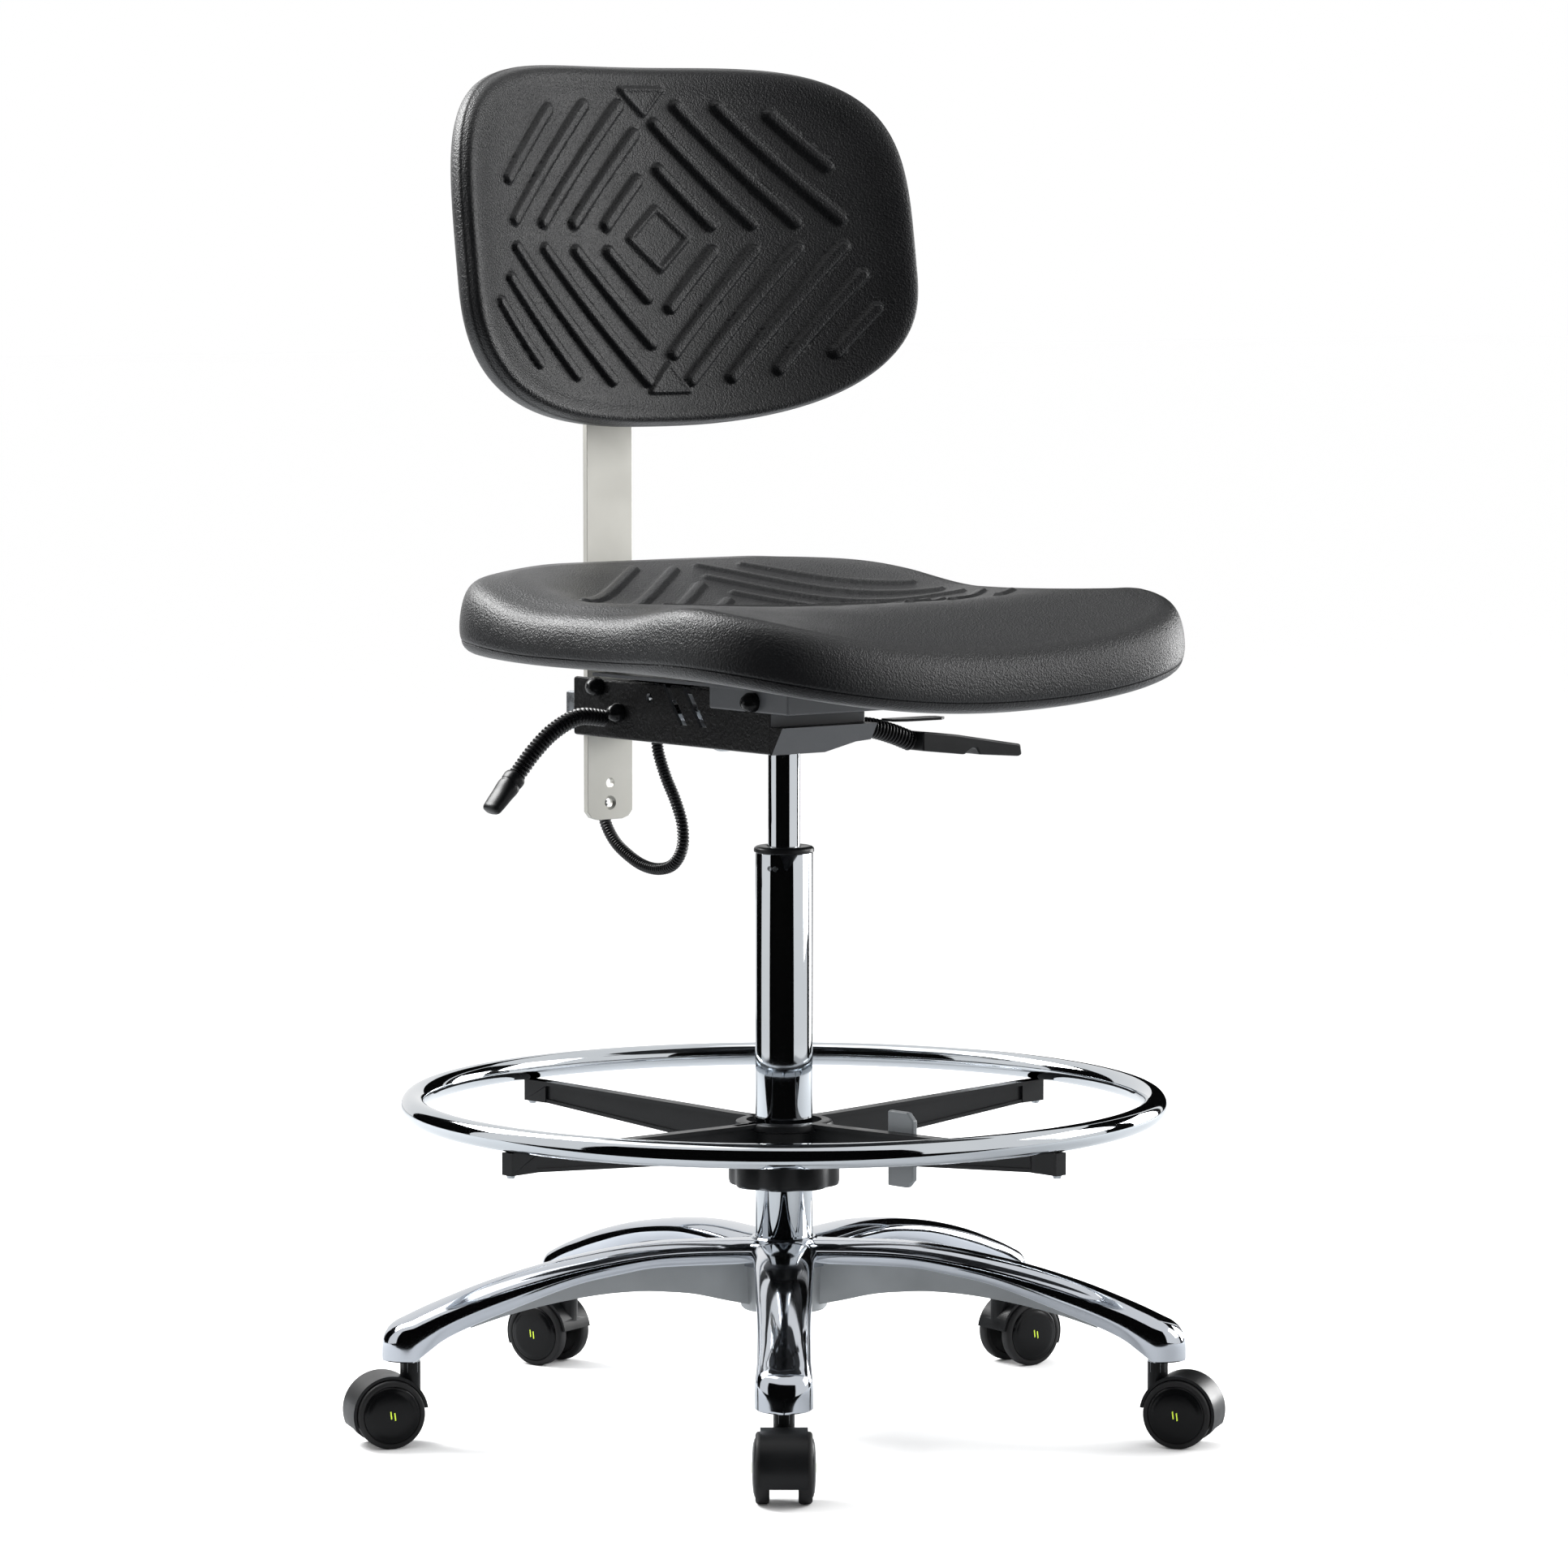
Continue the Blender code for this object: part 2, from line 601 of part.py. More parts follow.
def gas_cylinder():
    """Cylinder open at its lower gland, with the valve's bore at its upper end."""
    wall = CYLINDER_RADIUS - CYLINDER_WALL
    gland = ROD_RADIUS + RUN / 2
    roof = CYLINDER_TOP - 0.040
    valve = VALVE_RADIUS + RUN / 2
    gland_top = CYLINDER_BOTTOM + GLAND_HEIGHT
    profile = [(valve, CYLINDER_TOP), (CYLINDER_RADIUS - 0.001, CYLINDER_TOP),
               (CYLINDER_RADIUS, CYLINDER_TOP - 0.004), (CYLINDER_RADIUS, CYLINDER_BOTTOM),
               (gland, CYLINDER_BOTTOM), (gland, gland_top), (wall, gland_top), (wall, roof - 0.004),
               (valve, roof), (valve, CYLINDER_TOP)]
    return turned("gas_cylinder", profile, "chrome_plate", COLUMN_STEPS)


def valve_button():
    top = CYLINDER_TOP + VALVE_PROUD
    return cylinder("valve_button", (0, 0, top - VALVE_LENGTH), (0, 0, top), VALVE_RADIUS, "zinc_plate",
                    BOLT_STEPS)


# --- casters ------------------------------------------------------------------------------------
def wheel_profile():
    """Half of a twin wheel, from its outer dome round the tread to the inner face, with a blind axle bore."""
    outer = WHEEL_INNER + TREAD_WIDTH
    bore = AXLE_RADIUS + PRESS
    depth = outer - 0.0015
    return [(0.0, outer + WHEEL_DOME), (0.0150, outer + WHEEL_DOME * 0.75), (0.0240, outer),
            (WHEEL_RADIUS - 0.0018, outer - 0.0004), (WHEEL_RADIUS, outer - 0.0022),
            (WHEEL_RADIUS, WHEEL_INNER), (bore, WHEEL_INNER), (bore, depth), (0.0, depth)]


def caster(index, root):
    """One caster: a stem fixed in the leg, a hood that swivels on it, an axle and two wheels."""
    number = index + 1
    turn = turn_about_column(leg_angle(index))
    at = turn @ Vector((PIVOT_RADIUS, 0.0, 0.0))
    frame = Matrix.Translation(at) @ turn_about_column(leg_angle(index) + CASTER_TURNS[index])
    collar_low = WHEEL_RADIUS + HOOD_OUTER + GAP
    neck = STEM_RADIUS - NECK_STEP
    stem_low = WHEEL_RADIUS + 0.012
    stem_top = LEG_UNDERSIDE + STEM_LENGTH
    collar_high = LEG_UNDERSIDE - GAP
    stem_profile = [(0.0, stem_top), (STEM_RADIUS - 0.001, stem_top), (STEM_RADIUS, stem_top - 0.002),
                    (STEM_RADIUS, collar_high), (COLLAR_RADIUS, collar_high), (COLLAR_RADIUS, collar_low),
                    (neck, collar_low), (neck, stem_low), (0.0, stem_low)]
    stem = turned(f"caster_{number}_stem", stem_profile, "zinc_plate", SMALL_STEPS, frame)
    hang(stem, root)

    swivel = empty(f"caster_{number}_swivel", (at.x, at.y, LEG_UNDERSIDE), root)
    centre = (CASTER_TRAIL, WHEEL_RADIUS)
    upright = frame @ Matrix.Rotation(pi / 2, 4, "X")
    shell = arc(centre, HOOD_OUTER, HOOD_LOW_ANGLE, HOOD_FRONT_ANGLE, 13)
    shell += arc(centre, HOOD_OUTER - HOOD_WALL, HOOD_FRONT_ANGLE, HOOD_LOW_ANGLE, 13)
    hood = plate(f"caster_{number}_hood", shell, 2 * HOOD_HALF_WIDTH, "black_nylon", upright)
    web_half = WHEEL_INNER - RUN
    web = arc(centre, HOOD_OUTER - HOOD_WALL / 2, radians(35.0), radians(160.0), 8)
    web += arc(centre, WEB_RADIUS, radians(200.0), radians(340.0), 5)
    hood = combine(hood, plate("web", web, 2 * web_half, None, upright), "UNION", "black_nylon")
    boss = cylinder("boss", frame @ Vector((0, 0, stem_low - 0.003)), frame @ Vector((0, 0, collar_low - GAP)),
                    COLLAR_RADIUS, steps=14)
    hood = combine(hood, boss, "UNION", "black_nylon")
    socket = cylinder("socket", frame @ Vector((0, 0, stem_low - 0.0015)),
                      frame @ Vector((0, 0, collar_low + 0.01)), neck + RUN / 2, steps=SMALL_STEPS)
    hood = combine(hood, socket, "DIFFERENCE", "black_nylon")
    middle = Vector((CASTER_TRAIL, 0.0, WHEEL_RADIUS))
    side = Vector((0.0, 1.0, 0.0))
    axle_hole = cylinder("axle_hole", frame @ (middle - side * 0.03), frame @ (middle + side * 0.03),
                         AXLE_RADIUS + GAP, steps=SMALL_STEPS)
    hood = combine(hood, axle_hole, "DIFFERENCE", "black_nylon")
    hang(hood, swivel)
    reach = WHEEL_INNER + TREAD_WIDTH - 0.0022
    axle = cylinder(f"caster_{number}_axle", frame @ (middle - side * reach),
                    frame @ (middle + side * reach), AXLE_RADIUS, "zinc_plate", SMALL_STEPS)
    hang(axle, swivel)
    for name, quarter in (("left", -pi / 2), ("right", pi / 2)):
        place = frame @ Matrix.Translation(middle) @ Matrix.Rotation(quarter, 4, "X")
        spin = empty(f"caster_{number}_{name}_spin", frame @ middle, swivel)
        wheel = turned(f"caster_{number}_wheel_{name}", wheel_profile(), "black_rubber", WHEEL_STEPS, place)
        hang(wheel, spin)


# --- foot ring ----------------------------------------------------------------------------------
def spoke_direction(index):
    """Plan angle of a spoke: halfway between the base's own axes."""
    return BASE_TURN - pi / 2 + pi / SPOKE_COUNT + index * 2 * pi / SPOKE_COUNT


def foot_ring_pieces(root):
    slide = empty("foot_ring_slide", (0, 0, RING_HEIGHT), root)
    steps = RING_STEPS
    points = [(RING_RADIUS * cos(2 * pi * i / steps), RING_RADIUS * sin(2 * pi * i / steps), RING_HEIGHT)
              for i in range(steps)]
    ring = tube("foot_ring", points, RING_TUBE, "chrome_plate", 3, cyclic=True)
    hang(ring, slide)

    top = RING_HEIGHT - RING_TUBE - GAP
    hub_top = RING_HEIGHT - RING_HUB_DROP
    hub_low = hub_top - SPOKE_DEPTH_HUB
    hub_profile = [(0.0, hub_top), (RING_HUB_RADIUS, hub_top), (RING_HUB_RADIUS, hub_top - 0.006),
                   (RING_HUB_RADIUS - 0.004, hub_low), (0.0, hub_low)]
    frame_piece = turned("spoke_frame", hub_profile, "black_nylon", 28)
    end = RING_RADIUS + SPOKE_OVERHANG
    level = end - SPOKE_LEVEL_END
    for index in range(SPOKE_COUNT):
        turn = turn_about_column(spoke_direction(index)) @ Matrix.Rotation(pi / 2, 4, "X")
        outline = [(0.015, hub_top), (0.060, hub_top), (level, top), (end, top), (end, top - SPOKE_DEPTH_END),
                   (level, top - SPOKE_DEPTH_END), (0.060, hub_low + 0.004), (0.015, hub_low + 0.001)]
        spoke = plate("spoke", outline, 2 * SPOKE_HALF, None, turn)
        frame_piece = combine(frame_piece, spoke, "UNION", "black_nylon")
        seat = turn_about_column(spoke_direction(index)) @ Vector((RING_RADIUS, 0.0, 0.0))
        hole = cylinder("hole", seat + Vector((0, 0, top - 0.05)), seat + Vector((0, 0, top + 0.01)),
                        SCREW_SHANK + GAP, steps=10)
        frame_piece = combine(frame_piece, hole, "DIFFERENCE", "black_nylon")
    bore = cylinder("bore", (0, 0, hub_low - 0.02), (0, 0, hub_top + 0.02), TUBE_RADIUS + GAP,
                    steps=COLUMN_STEPS)
    frame_piece = combine(frame_piece, bore, "DIFFERENCE", "black_nylon")
    hang(frame_piece, slide)

    for index in range(SPOKE_COUNT):
        seat = turn_about_column(spoke_direction(index)) @ Vector((RING_RADIUS, 0.0, 0.0))
        low = top - SPOKE_DEPTH_END - GAP
        profile = [(0.0, top - 0.0005), (SCREW_SHANK, top - 0.0005), (SCREW_SHANK, low), (SCREW_HEAD, low),
                   (SCREW_HEAD - 0.001, low - SCREW_HEAD_HEIGHT), (0.0, low - SCREW_HEAD_HEIGHT)]
        screw = turned(f"ring_screw_{index + 1}", profile, "zinc_plate", 10, Matrix.Translation(seat))
        hang(screw, slide)

    knob_top = hub_low - GAP
    turn_axis = empty("lock_knob_turn", (0, 0, knob_top), slide)
    lobes = []
    for i in range(6 * KNOB_LOBES):
        angle = 2 * pi * i / (6 * KNOB_LOBES)
        radius = KNOB_RADIUS - KNOB_SCALLOP * (1 - cos(KNOB_LOBES * angle)) / 2
        lobes.append((radius * cos(angle), radius * sin(angle)))
    place = Matrix.Translation((0, 0, knob_top - KNOB_HEIGHT / 2))
    bore = circle((0, 0), TUBE_RADIUS + GAP, COLUMN_STEPS)
    knob = plate("ring_lock_knob", lobes, KNOB_HEIGHT, "black_nylon", place, (bore,))
    hang(knob, turn_axis)

    spoke_turn = turn_about_column(spoke_direction(0))
    lever_at = spoke_turn @ Vector((LEVER_AT, SPOKE_HALF + GAP + LEVER_THICK / 2, RING_HEIGHT - LEVER_DROP))
    lever_turn = empty("release_lever_turn", lever_at, slide)
    half = LEVER_LENGTH / 2
    outline = [(-half, -LEVER_BELOW), (half - LEVER_CORNER, -LEVER_BELOW), (half, LEVER_CORNER - LEVER_BELOW),
               (half, LEVER_ABOVE - LEVER_CORNER), (half - LEVER_CORNER, LEVER_ABOVE), (-half, LEVER_ABOVE)]
    place = Matrix.Translation(lever_at) @ spoke_turn @ Matrix.Rotation(pi / 2, 4, "X")
    lever = plate("ring_release_lever", outline, LEVER_THICK, "grey_nylon", place)
    hang(lever, lever_turn)


# --- mechanism ----------------------------------------------------------------------------------
def mechanism_pieces(frame):
    """Channel housing with its two cross pins."""
    outer = box("mechanism_housing", (-BOX_HALF, BOX_FRONT, BOX_BOTTOM), (BOX_HALF, BOX_REAR, BOX_TOP),
                "textured_black_paint", 0.0025)
    hollow = box("hollow", (-BOX_HALF + SHEET, BOX_FRONT + SHEET, BOX_BOTTOM + SHEET),
                 (BOX_HALF - SHEET, BOX_REAR + 0.02, BOX_TOP + 0.02))
    housing = combine(outer, hollow, "DIFFERENCE", "textured_black_paint")
    inner = BOX_HALF - SHEET - FLOOR_LIP
    under = box("under", (-inner, FLOOR_END, BOX_BOTTOM - 0.02), (inner, BOX_REAR + 0.03, BOX_BOTTOM + 0.02))
    housing = combine(housing, under, "DIFFERENCE", "textured_black_paint")
    block = box("block", (-BOX_HALF + SHEET / 2, BOX_FRONT + SHEET / 2, BOX_BOTTOM + SHEET / 2),
                (BOX_HALF - SHEET / 2, SOCKET_END, BOX_TOP - 0.012))
    housing = combine(housing, block, "UNION", "textured_black_paint")
    taper = cylinder("taper", (0, 0, BOX_BOTTOM - 0.01), (0, 0, BOX_TOP + 0.01), CYLINDER_RADIUS + GAP,
                     steps=COLUMN_STEPS)
    housing = combine(housing, taper, "DIFFERENCE", "textured_black_paint")
    for y in SLOTS:
        slot_line = [(y + 0.007, 0.0), (y - 0.003, 0.0), (y - 0.030, -SLOT_DEPTH), (y - 0.020, -SLOT_DEPTH)]
        slot_place = Matrix.Translation((0, 0, BOX_TOP + 0.002)) @ Matrix.Rotation(pi / 2, 4, "Z")
        slot = plate("slot", slot_line, 0.2, None, slot_place @ Matrix.Rotation(pi / 2, 4, "X"))
        housing = combine(housing, slot, "DIFFERENCE", "textured_black_paint")
    for y, z, radius in ((BACK_PIVOT_Y, BACK_PIVOT_Z, AXLE_PIN), (STOP_PIN_Y, STOP_PIN_Z, AXLE_PIN),
                         (TILT_AXLE_Y, TILT_AXLE_Z, AXLE_PIN), (GAUGE_HOLE_Y, GAUGE_HOLE_Z, GAUGE_HOLE)):
        hole = cylinder("hole", (-0.1, y, z), (0.1, y, z), radius + GAP, steps=20)
        housing = combine(housing, hole, "DIFFERENCE", "textured_black_paint")
    hang(housing, frame)
    for name, y, z in (("back_axle", BACK_PIVOT_Y, BACK_PIVOT_Z), ("stop_pin", STOP_PIN_Y, STOP_PIN_Z)):
        hang(capped_pin(name, y, z, BOX_HALF), frame)


def capped_pin(name, y, z, half):
    """A cross pin with a domed cap on each end."""
    cap = [(0.0, half + CAP_DOME), (CAP_RADIUS * 0.62, half + CAP_DOME * 0.885),
           (CAP_RADIUS, half + CAP_DOME / 2), (CAP_RADIUS, half + GAP), (AXLE_PIN, half + GAP)]
    profile = cap + [(radius, -along) for radius, along in reversed(cap)]
    across = Matrix.Translation((0, y, z)) @ Matrix.Rotation(pi / 2, 4, "Y")
    return turned(name, profile, "black_nylon", 18, across)


def seat_bracket_pieces(tilt):
    """Inverted tray that carries the seat, folded down on both sides over the housing."""
    low = BRACKET_TOP - BRACKET_DROP
    tray = box("seat_bracket", (-BRACKET_HALF, BRACKET_FRONT, low), (BRACKET_HALF, BRACKET_REAR, BRACKET_TOP),
               "textured_black_paint", 0.002)
    inside = box("inside", (-BRACKET_HALF + SHEET, BRACKET_FRONT + SHEET, low - 0.02),
                 (BRACKET_HALF - SHEET, BRACKET_REAR + 0.02, BRACKET_TOP - SHEET))
    tray = combine(tray, inside, "DIFFERENCE", "textured_black_paint")
    wing = box("wing", (-WING_HALF, BRACKET_FRONT + 0.012, BRACKET_TOP - SHEET),
               (WING_HALF, WING_REAR, BRACKET_TOP))
    tray = combine(tray, wing, "UNION", "textured_black_paint")
    window = box("window", (-0.040, BRACKET_REAR + 0.030, BRACKET_TOP - 0.02),
                 (0.040, WING_REAR - 0.030, BRACKET_TOP + 0.02))
    tray = combine(tray, window, "DIFFERENCE", "textured_black_paint")
    hole = cylinder("hole", (-0.1, TILT_AXLE_Y, TILT_AXLE_Z), (0.1, TILT_AXLE_Y, TILT_AXLE_Z), AXLE_PIN + GAP)
    tray = combine(tray, hole, "DIFFERENCE", "textured_black_paint")
    hang(tray, tilt)
    hang(capped_pin("seat_axle", TILT_AXLE_Y, TILT_AXLE_Z, BRACKET_HALF), tilt)


# --- back support -------------------------------------------------------------------------------
def back_arm_pieces(hinge):
    """Arm that swings on the rear axle and guides the back bar."""
    rear = BAR_FRONT + BAR_THICK + RUN / 2 + CLAMP_WALL
    arm = box("back_arm", (-ARM_HALF, ARM_FRONT, ARM_BOTTOM), (ARM_HALF, rear, ARM_TOP), "zinc_plate", 0.002)
    hollow = box("hollow", (-ARM_HALF + ARM_WALL, ARM_FRONT - 0.01, ARM_BOTTOM + 0.012),
                 (ARM_HALF - ARM_WALL, BAR_FRONT - 0.010, ARM_TOP + 0.01))
    arm = combine(arm, hollow, "DIFFERENCE", "zinc_plate")
    guide = box("guide", (-BAR_HALF - RUN / 2, BAR_FRONT - RUN / 2, ARM_BOTTOM - 0.02),
                (BAR_HALF + RUN / 2, BAR_FRONT + BAR_THICK + RUN / 2, ARM_TOP + 0.02))
    arm = combine(arm, guide, "DIFFERENCE", "zinc_plate")
    pin = cylinder("pin", (-0.1, BACK_PIVOT_Y, BACK_PIVOT_Z), (0.1, BACK_PIVOT_Y, BACK_PIVOT_Z),
                   AXLE_PIN + GAP)
    arm = combine(arm, pin, "DIFFERENCE", "zinc_plate")
    notch = cylinder("notch", (-0.1, STOP_PIN_Y, STOP_PIN_Z), (0.1, STOP_PIN_Y, STOP_PIN_Z), AXLE_PIN + 0.0125)
    arm = combine(arm, notch, "DIFFERENCE", "zinc_plate")
    middle = (ARM_BOTTOM + ARM_TOP) / 2
    thread = cylinder("thread", (0, rear - 0.05, middle), (0, rear + 0.01, middle), CLAMP_SCREW + GAP,
                      steps=BOLT_STEPS)
    keep = box("keep", (-0.02, BAR_FRONT - 0.06, middle - 0.02),
               (0.02, BAR_FRONT + BAR_THICK / 2, middle + 0.02))
    thread = combine(thread, keep, "DIFFERENCE", None)
    arm = combine(arm, thread, "DIFFERENCE", "zinc_plate")
    hang(arm, hinge)
    start = BAR_FRONT + BAR_THICK + GAP
    screw = cylinder("bar_clamp_screw", (0, start, middle), (0, rear + 0.010, middle), CLAMP_SCREW,
                     "zinc_plate", BOLT_STEPS)
    head = cylinder("head", (0, rear + GAP, middle), (0, rear + 0.012, middle), 0.0095, steps=6)
    hang(combine(screw, head, "UNION", "zinc_plate"), hinge)
    spacing = 2.2 * CABLE_RADIUS
    cable = tube("cable_conduit", tube_points(CABLE_ROUTE, spacing), CABLE_RADIUS, "black_rubber", 2)
    hang(cable, hinge)


def back_bar_pieces(slide):
    """Flat bar with clipped lower corners and two holes, and the wedge that carries the backrest."""
    outline = [(-BAR_HALF, BAR_BOTTOM + BAR_CORNER), (-BAR_HALF + 0.011, BAR_BOTTOM),
               (BAR_HALF - 0.011, BAR_BOTTOM), (BAR_HALF, BAR_BOTTOM + BAR_CORNER), (BAR_HALF, BAR_TOP - 0.004),
               (BAR_HALF - 0.004, BAR_TOP), (-BAR_HALF + 0.004, BAR_TOP), (-BAR_HALF, BAR_TOP - 0.004)]
    holes = [circle((0.0, BAR_BOTTOM + up), BAR_HOLE) for up in (0.0150, 0.0330)]
    holes += [circle((0.0, z), BOLT_RADIUS + GAP) for z in (BACK_BOLT_LOW, BACK_BOLT_HIGH)]
    upright = Matrix.Translation((0, BAR_FRONT + BAR_THICK / 2, 0)) @ Matrix.Rotation(pi / 2, 4, "X")
    bar = plate("back_bar", outline, BAR_THICK, "nickel_plate", upright, holes)
    hang(bar, slide)

    def shell_rear(z):
        return BACK_FRONT_Y + (z - BACK_LEVEL) * tan(BACK_SLOPE) + (BACK_THICK + GAP) / cos(BACK_SLOPE)

    low = BACK_BOLT_LOW - BLOCK_REACH
    high = BACK_BOLT_HIGH + BLOCK_REACH
    rear = BAR_FRONT - GAP
    half = BLOCK_HALF
    rings = [[(-half, shell_rear(z), z), (half, shell_rear(z), z), (half, rear, z), (-half, rear, z)]
             for z in (low, high)]
    wedge = loft("backrest_bracket", rings, "textured_black_paint")
    for z in (BACK_BOLT_LOW, BACK_BOLT_HIGH):
        hole = cylinder("hole", (0, rear - BOLT_GRIP - GAP, z), (0, rear + 0.02, z), BOLT_RADIUS + GAP,
                        steps=BOLT_STEPS)
        wedge = combine(wedge, hole, "DIFFERENCE", "textured_black_paint")
    hang(wedge, slide)
    face = BAR_FRONT + BAR_THICK + GAP
    for name, z in (("back_bolt_lower", BACK_BOLT_LOW), ("back_bolt_upper", BACK_BOLT_HIGH)):
        profile = [(0.0, face + 0.0045), (0.0055, face + 0.0040), (0.0075, face + 0.0015), (0.0075, face),
                   (BOLT_RADIUS, face), (BOLT_RADIUS, rear - BOLT_GRIP), (0.0, rear - BOLT_GRIP)]
        place = Matrix.Translation((0, 0, z)) @ Matrix.Rotation(-pi / 2, 4, "X")
        bolt = turned(name, profile, "zinc_plate", 18, place)
        hang(bolt, slide)


# --- cushions -----------------------------------------------------------------------------------
def super_outline(angle, half_x, half_front, half_rear, power):
    """A rounded-square outline: longer or shorter on its two ends."""
    c = cos(angle)
    s = sin(angle)
    x = half_x * abs(c) ** (2 / power) * (1 if c > 0 else -1)
    y = (half_rear if s > 0 else half_front) * abs(s) ** (2 / power) * (1 if s > 0 else -1)
    return x, y


def seat_cushion():
    """Waterfall seat: a dished top inside a raised rim, its front rolled down."""
    segments = 28
    edge_low = SEAT_UNDERSIDE + 0.0197

    def crest(y):
        rear = smooth_step(y, 0.02, 0.16)
        front = smooth_step(-y, 0.10, 0.22)
        return SEAT_CREST + 0.017 * rear + 0.005 * front

    def underside(x, y):
        front = smooth_step(-y, 0.02, 0.26)
        drop = 0.030 * front * (1 - 0.55 * (x / SEAT_HALF_WIDTH) ** 2)
        return edge_low + 0.005 * smooth_step(y, 0.0, 0.18) - drop

    def ring(scale, height):
        points = []
        for i in range(segments):
            angle = 2 * pi * (i + 0.5) / segments
            x, y = super_outline(angle, SEAT_HALF_WIDTH, SEAT_HALF_DEPTH, SEAT_HALF_DEPTH, SEAT_POWER)
            x *= scale
            y = y * scale + SEAT_CENTRE_Y
            points.append((x, y, height(x, y)))
        return points

    def dish(scale):
        def height(x, y):
            rear = 1 - smooth_step(-y, -0.02, 0.20)
            return crest(y) - (0.006 + 0.014 * rear) * (1 - scale ** 2)
        return height

    rings = [ring(0.12, lambda x, y: SEAT_UNDERSIDE), ring(0.45, lambda x, y: SEAT_UNDERSIDE),
             ring(0.60, lambda x, y: SEAT_UNDERSIDE + 0.25 * (underside(x, y) - SEAT_UNDERSIDE)),
             ring(0.84, underside), ring(0.955, lambda x, y: underside(x, y) + 0.003),
             ring(0.996, lambda x, y: underside(x, y) + 0.016),
             ring(0.998, lambda x, y: underside(x, y) + 0.55 * (crest(y) - underside(x, y))),
             ring(0.972, lambda x, y: crest(y) - 0.0085), ring(0.915, lambda x, y: crest(y) - 0.0005),
             ring(0.80, lambda x, y: crest(y) - 0.0030), ring(0.60, dish(0.75)), ring(0.36, dish(0.45)),
             ring(0.12, dish(0.15))]
    return loft("seat_cushion", rings, "black_polyurethane")


def backrest_cushion():
    """Moulded back: a rounded shell that wraps forward at its sides and leans back."""
    segments = 32
    lean = Matrix.Translation((0, BACK_FRONT_Y, BACK_LEVEL)) @ Matrix.Rotation(-BACK_SLOPE, 4, "X")

    def ring(scale, depth):
        points = []
        for i in range(segments):
            angle = 2 * pi * (i + 0.5) / segments
            power = 3.5 if sin(angle) > 0 else 2.6
            x, up = super_outline(angle, BACK_HALF_WIDTH, BACK_DROP, BACK_RISE, power)
            x *= scale
            up *= scale
            wrap = BACK_WRAP * (x / BACK_HALF_WIDTH) ** 2
            points.append(lean @ Vector((x, depth - wrap, up)))
        return points

    rear = BACK_THICK
    rings = [ring(0.10, rear), ring(0.55, rear), ring(0.80, rear - 0.003), ring(0.93, rear - 0.010),
             ring(0.990, rear - 0.018), ring(1.0, rear - 0.026), ring(0.985, 0.001), ring(0.950, -0.0035),
             ring(0.915, -0.002), ring(0.85, 0.000), ring(0.55, 0.0005), ring(0.10, 0.0005)]
    return loft("backrest_cushion", rings, "black_polyurethane")


# --- levers -------------------------------------------------------------------------------------
def beside_housing(route, side):
    """A side lever's route in the chair's frame, on one side of the channel."""
    root = BOX_HALF + SIDE_ROOM
    return [(side * (root + out), y, BOX_BOTTOM + up) for out, y, up in route]


def back_lever_pieces(hinge):
    """Ribbed gooseneck with a flattened grip, at the sitter's right."""
    neck_points = tube_points(beside_housing(NECK_ROUTE, -1), 2 * NECK_RADIUS)
    hang(tube("back_lever_neck", neck_points, NECK_RADIUS, "black_rubber", 3), hinge)
    end = Vector(neck_points[-1])
    along = (end - Vector(neck_points[-2])).normalized()
    side = Vector((0, 1, 0))
    up = along.cross(side)
    rings = []
    for share, wide, thick in ((0.0, 0.0085, 0.0085), (0.18, 0.0095, 0.0090), (0.55, 0.0110, 0.0070),
                               (0.90, 0.0105, 0.0060), (1.0, 0.0080, 0.0040)):
        centre = end + along * (GAP + GRIP_LENGTH * share)
        rings.append([centre + side * wide * cos(a) + up * thick * sin(a)
                      for a in (2 * pi * i / 14 for i in range(14))])
    hang(loft("back_lever_grip", rings, "black_nylon"), hinge)


def height_lever_pieces(hinge):
    """Spring-coil neck with a flat paddle, at the sitter's left, for the gas lift."""
    points = tube_points(beside_housing(COIL_ROUTE, 1), 1.6 * COIL_RADIUS)
    hang(tube("height_lever_coil", points, COIL_RADIUS, "textured_black_paint", 3), hinge)
    end = Vector(points[-1])
    along = (end - Vector(points[-2])).normalized()
    clear = Vector((COIL_RADIUS * abs(along.z) + GAP, 0.0, 0.0))
    place = Matrix.Translation(end + clear) @ Matrix.Rotation(pi / 2, 4, "X")
    drop = along.z / along.x
    length = PADDLE_LENGTH

    def edge(share, offset):
        return (length * share, length * share * drop * 0.30 + offset)

    outline = [edge(0.0, -0.0085), edge(0.42, -0.0085), edge(0.50, -0.0020), edge(0.54, -0.0020),
               edge(0.57, -0.0075), edge(0.97, -0.0060), edge(1.0, -0.0040), edge(0.985, 0.0050),
               edge(0.35, 0.0085), edge(0.0, 0.0085)]
    paddle = plate("height_lever_paddle", outline, PADDLE_WIDTH, "black_nylon", place)
    hang(paddle, hinge)


def tilt_lever(hinge):
    """Thin flat lever just under the seat, at the sitter's left."""
    start = BRACKET_HALF + GAP + 0.0017
    plan = ((0.0, -0.008), (0.012, -0.014), (0.048, -0.016), (0.056, -0.010), (0.056, 0.002), (0.048, 0.006),
            (0.0, 0.008))
    outline = [(start + out, TILT_LEVER_Y + along) for out, along in plan]
    level = Matrix.Translation((0, 0, TILT_LEVER_Z))
    lever = plate("tilt_lever", outline, TILT_LEVER_THICK, "textured_black_paint", level)
    hang(lever, hinge)


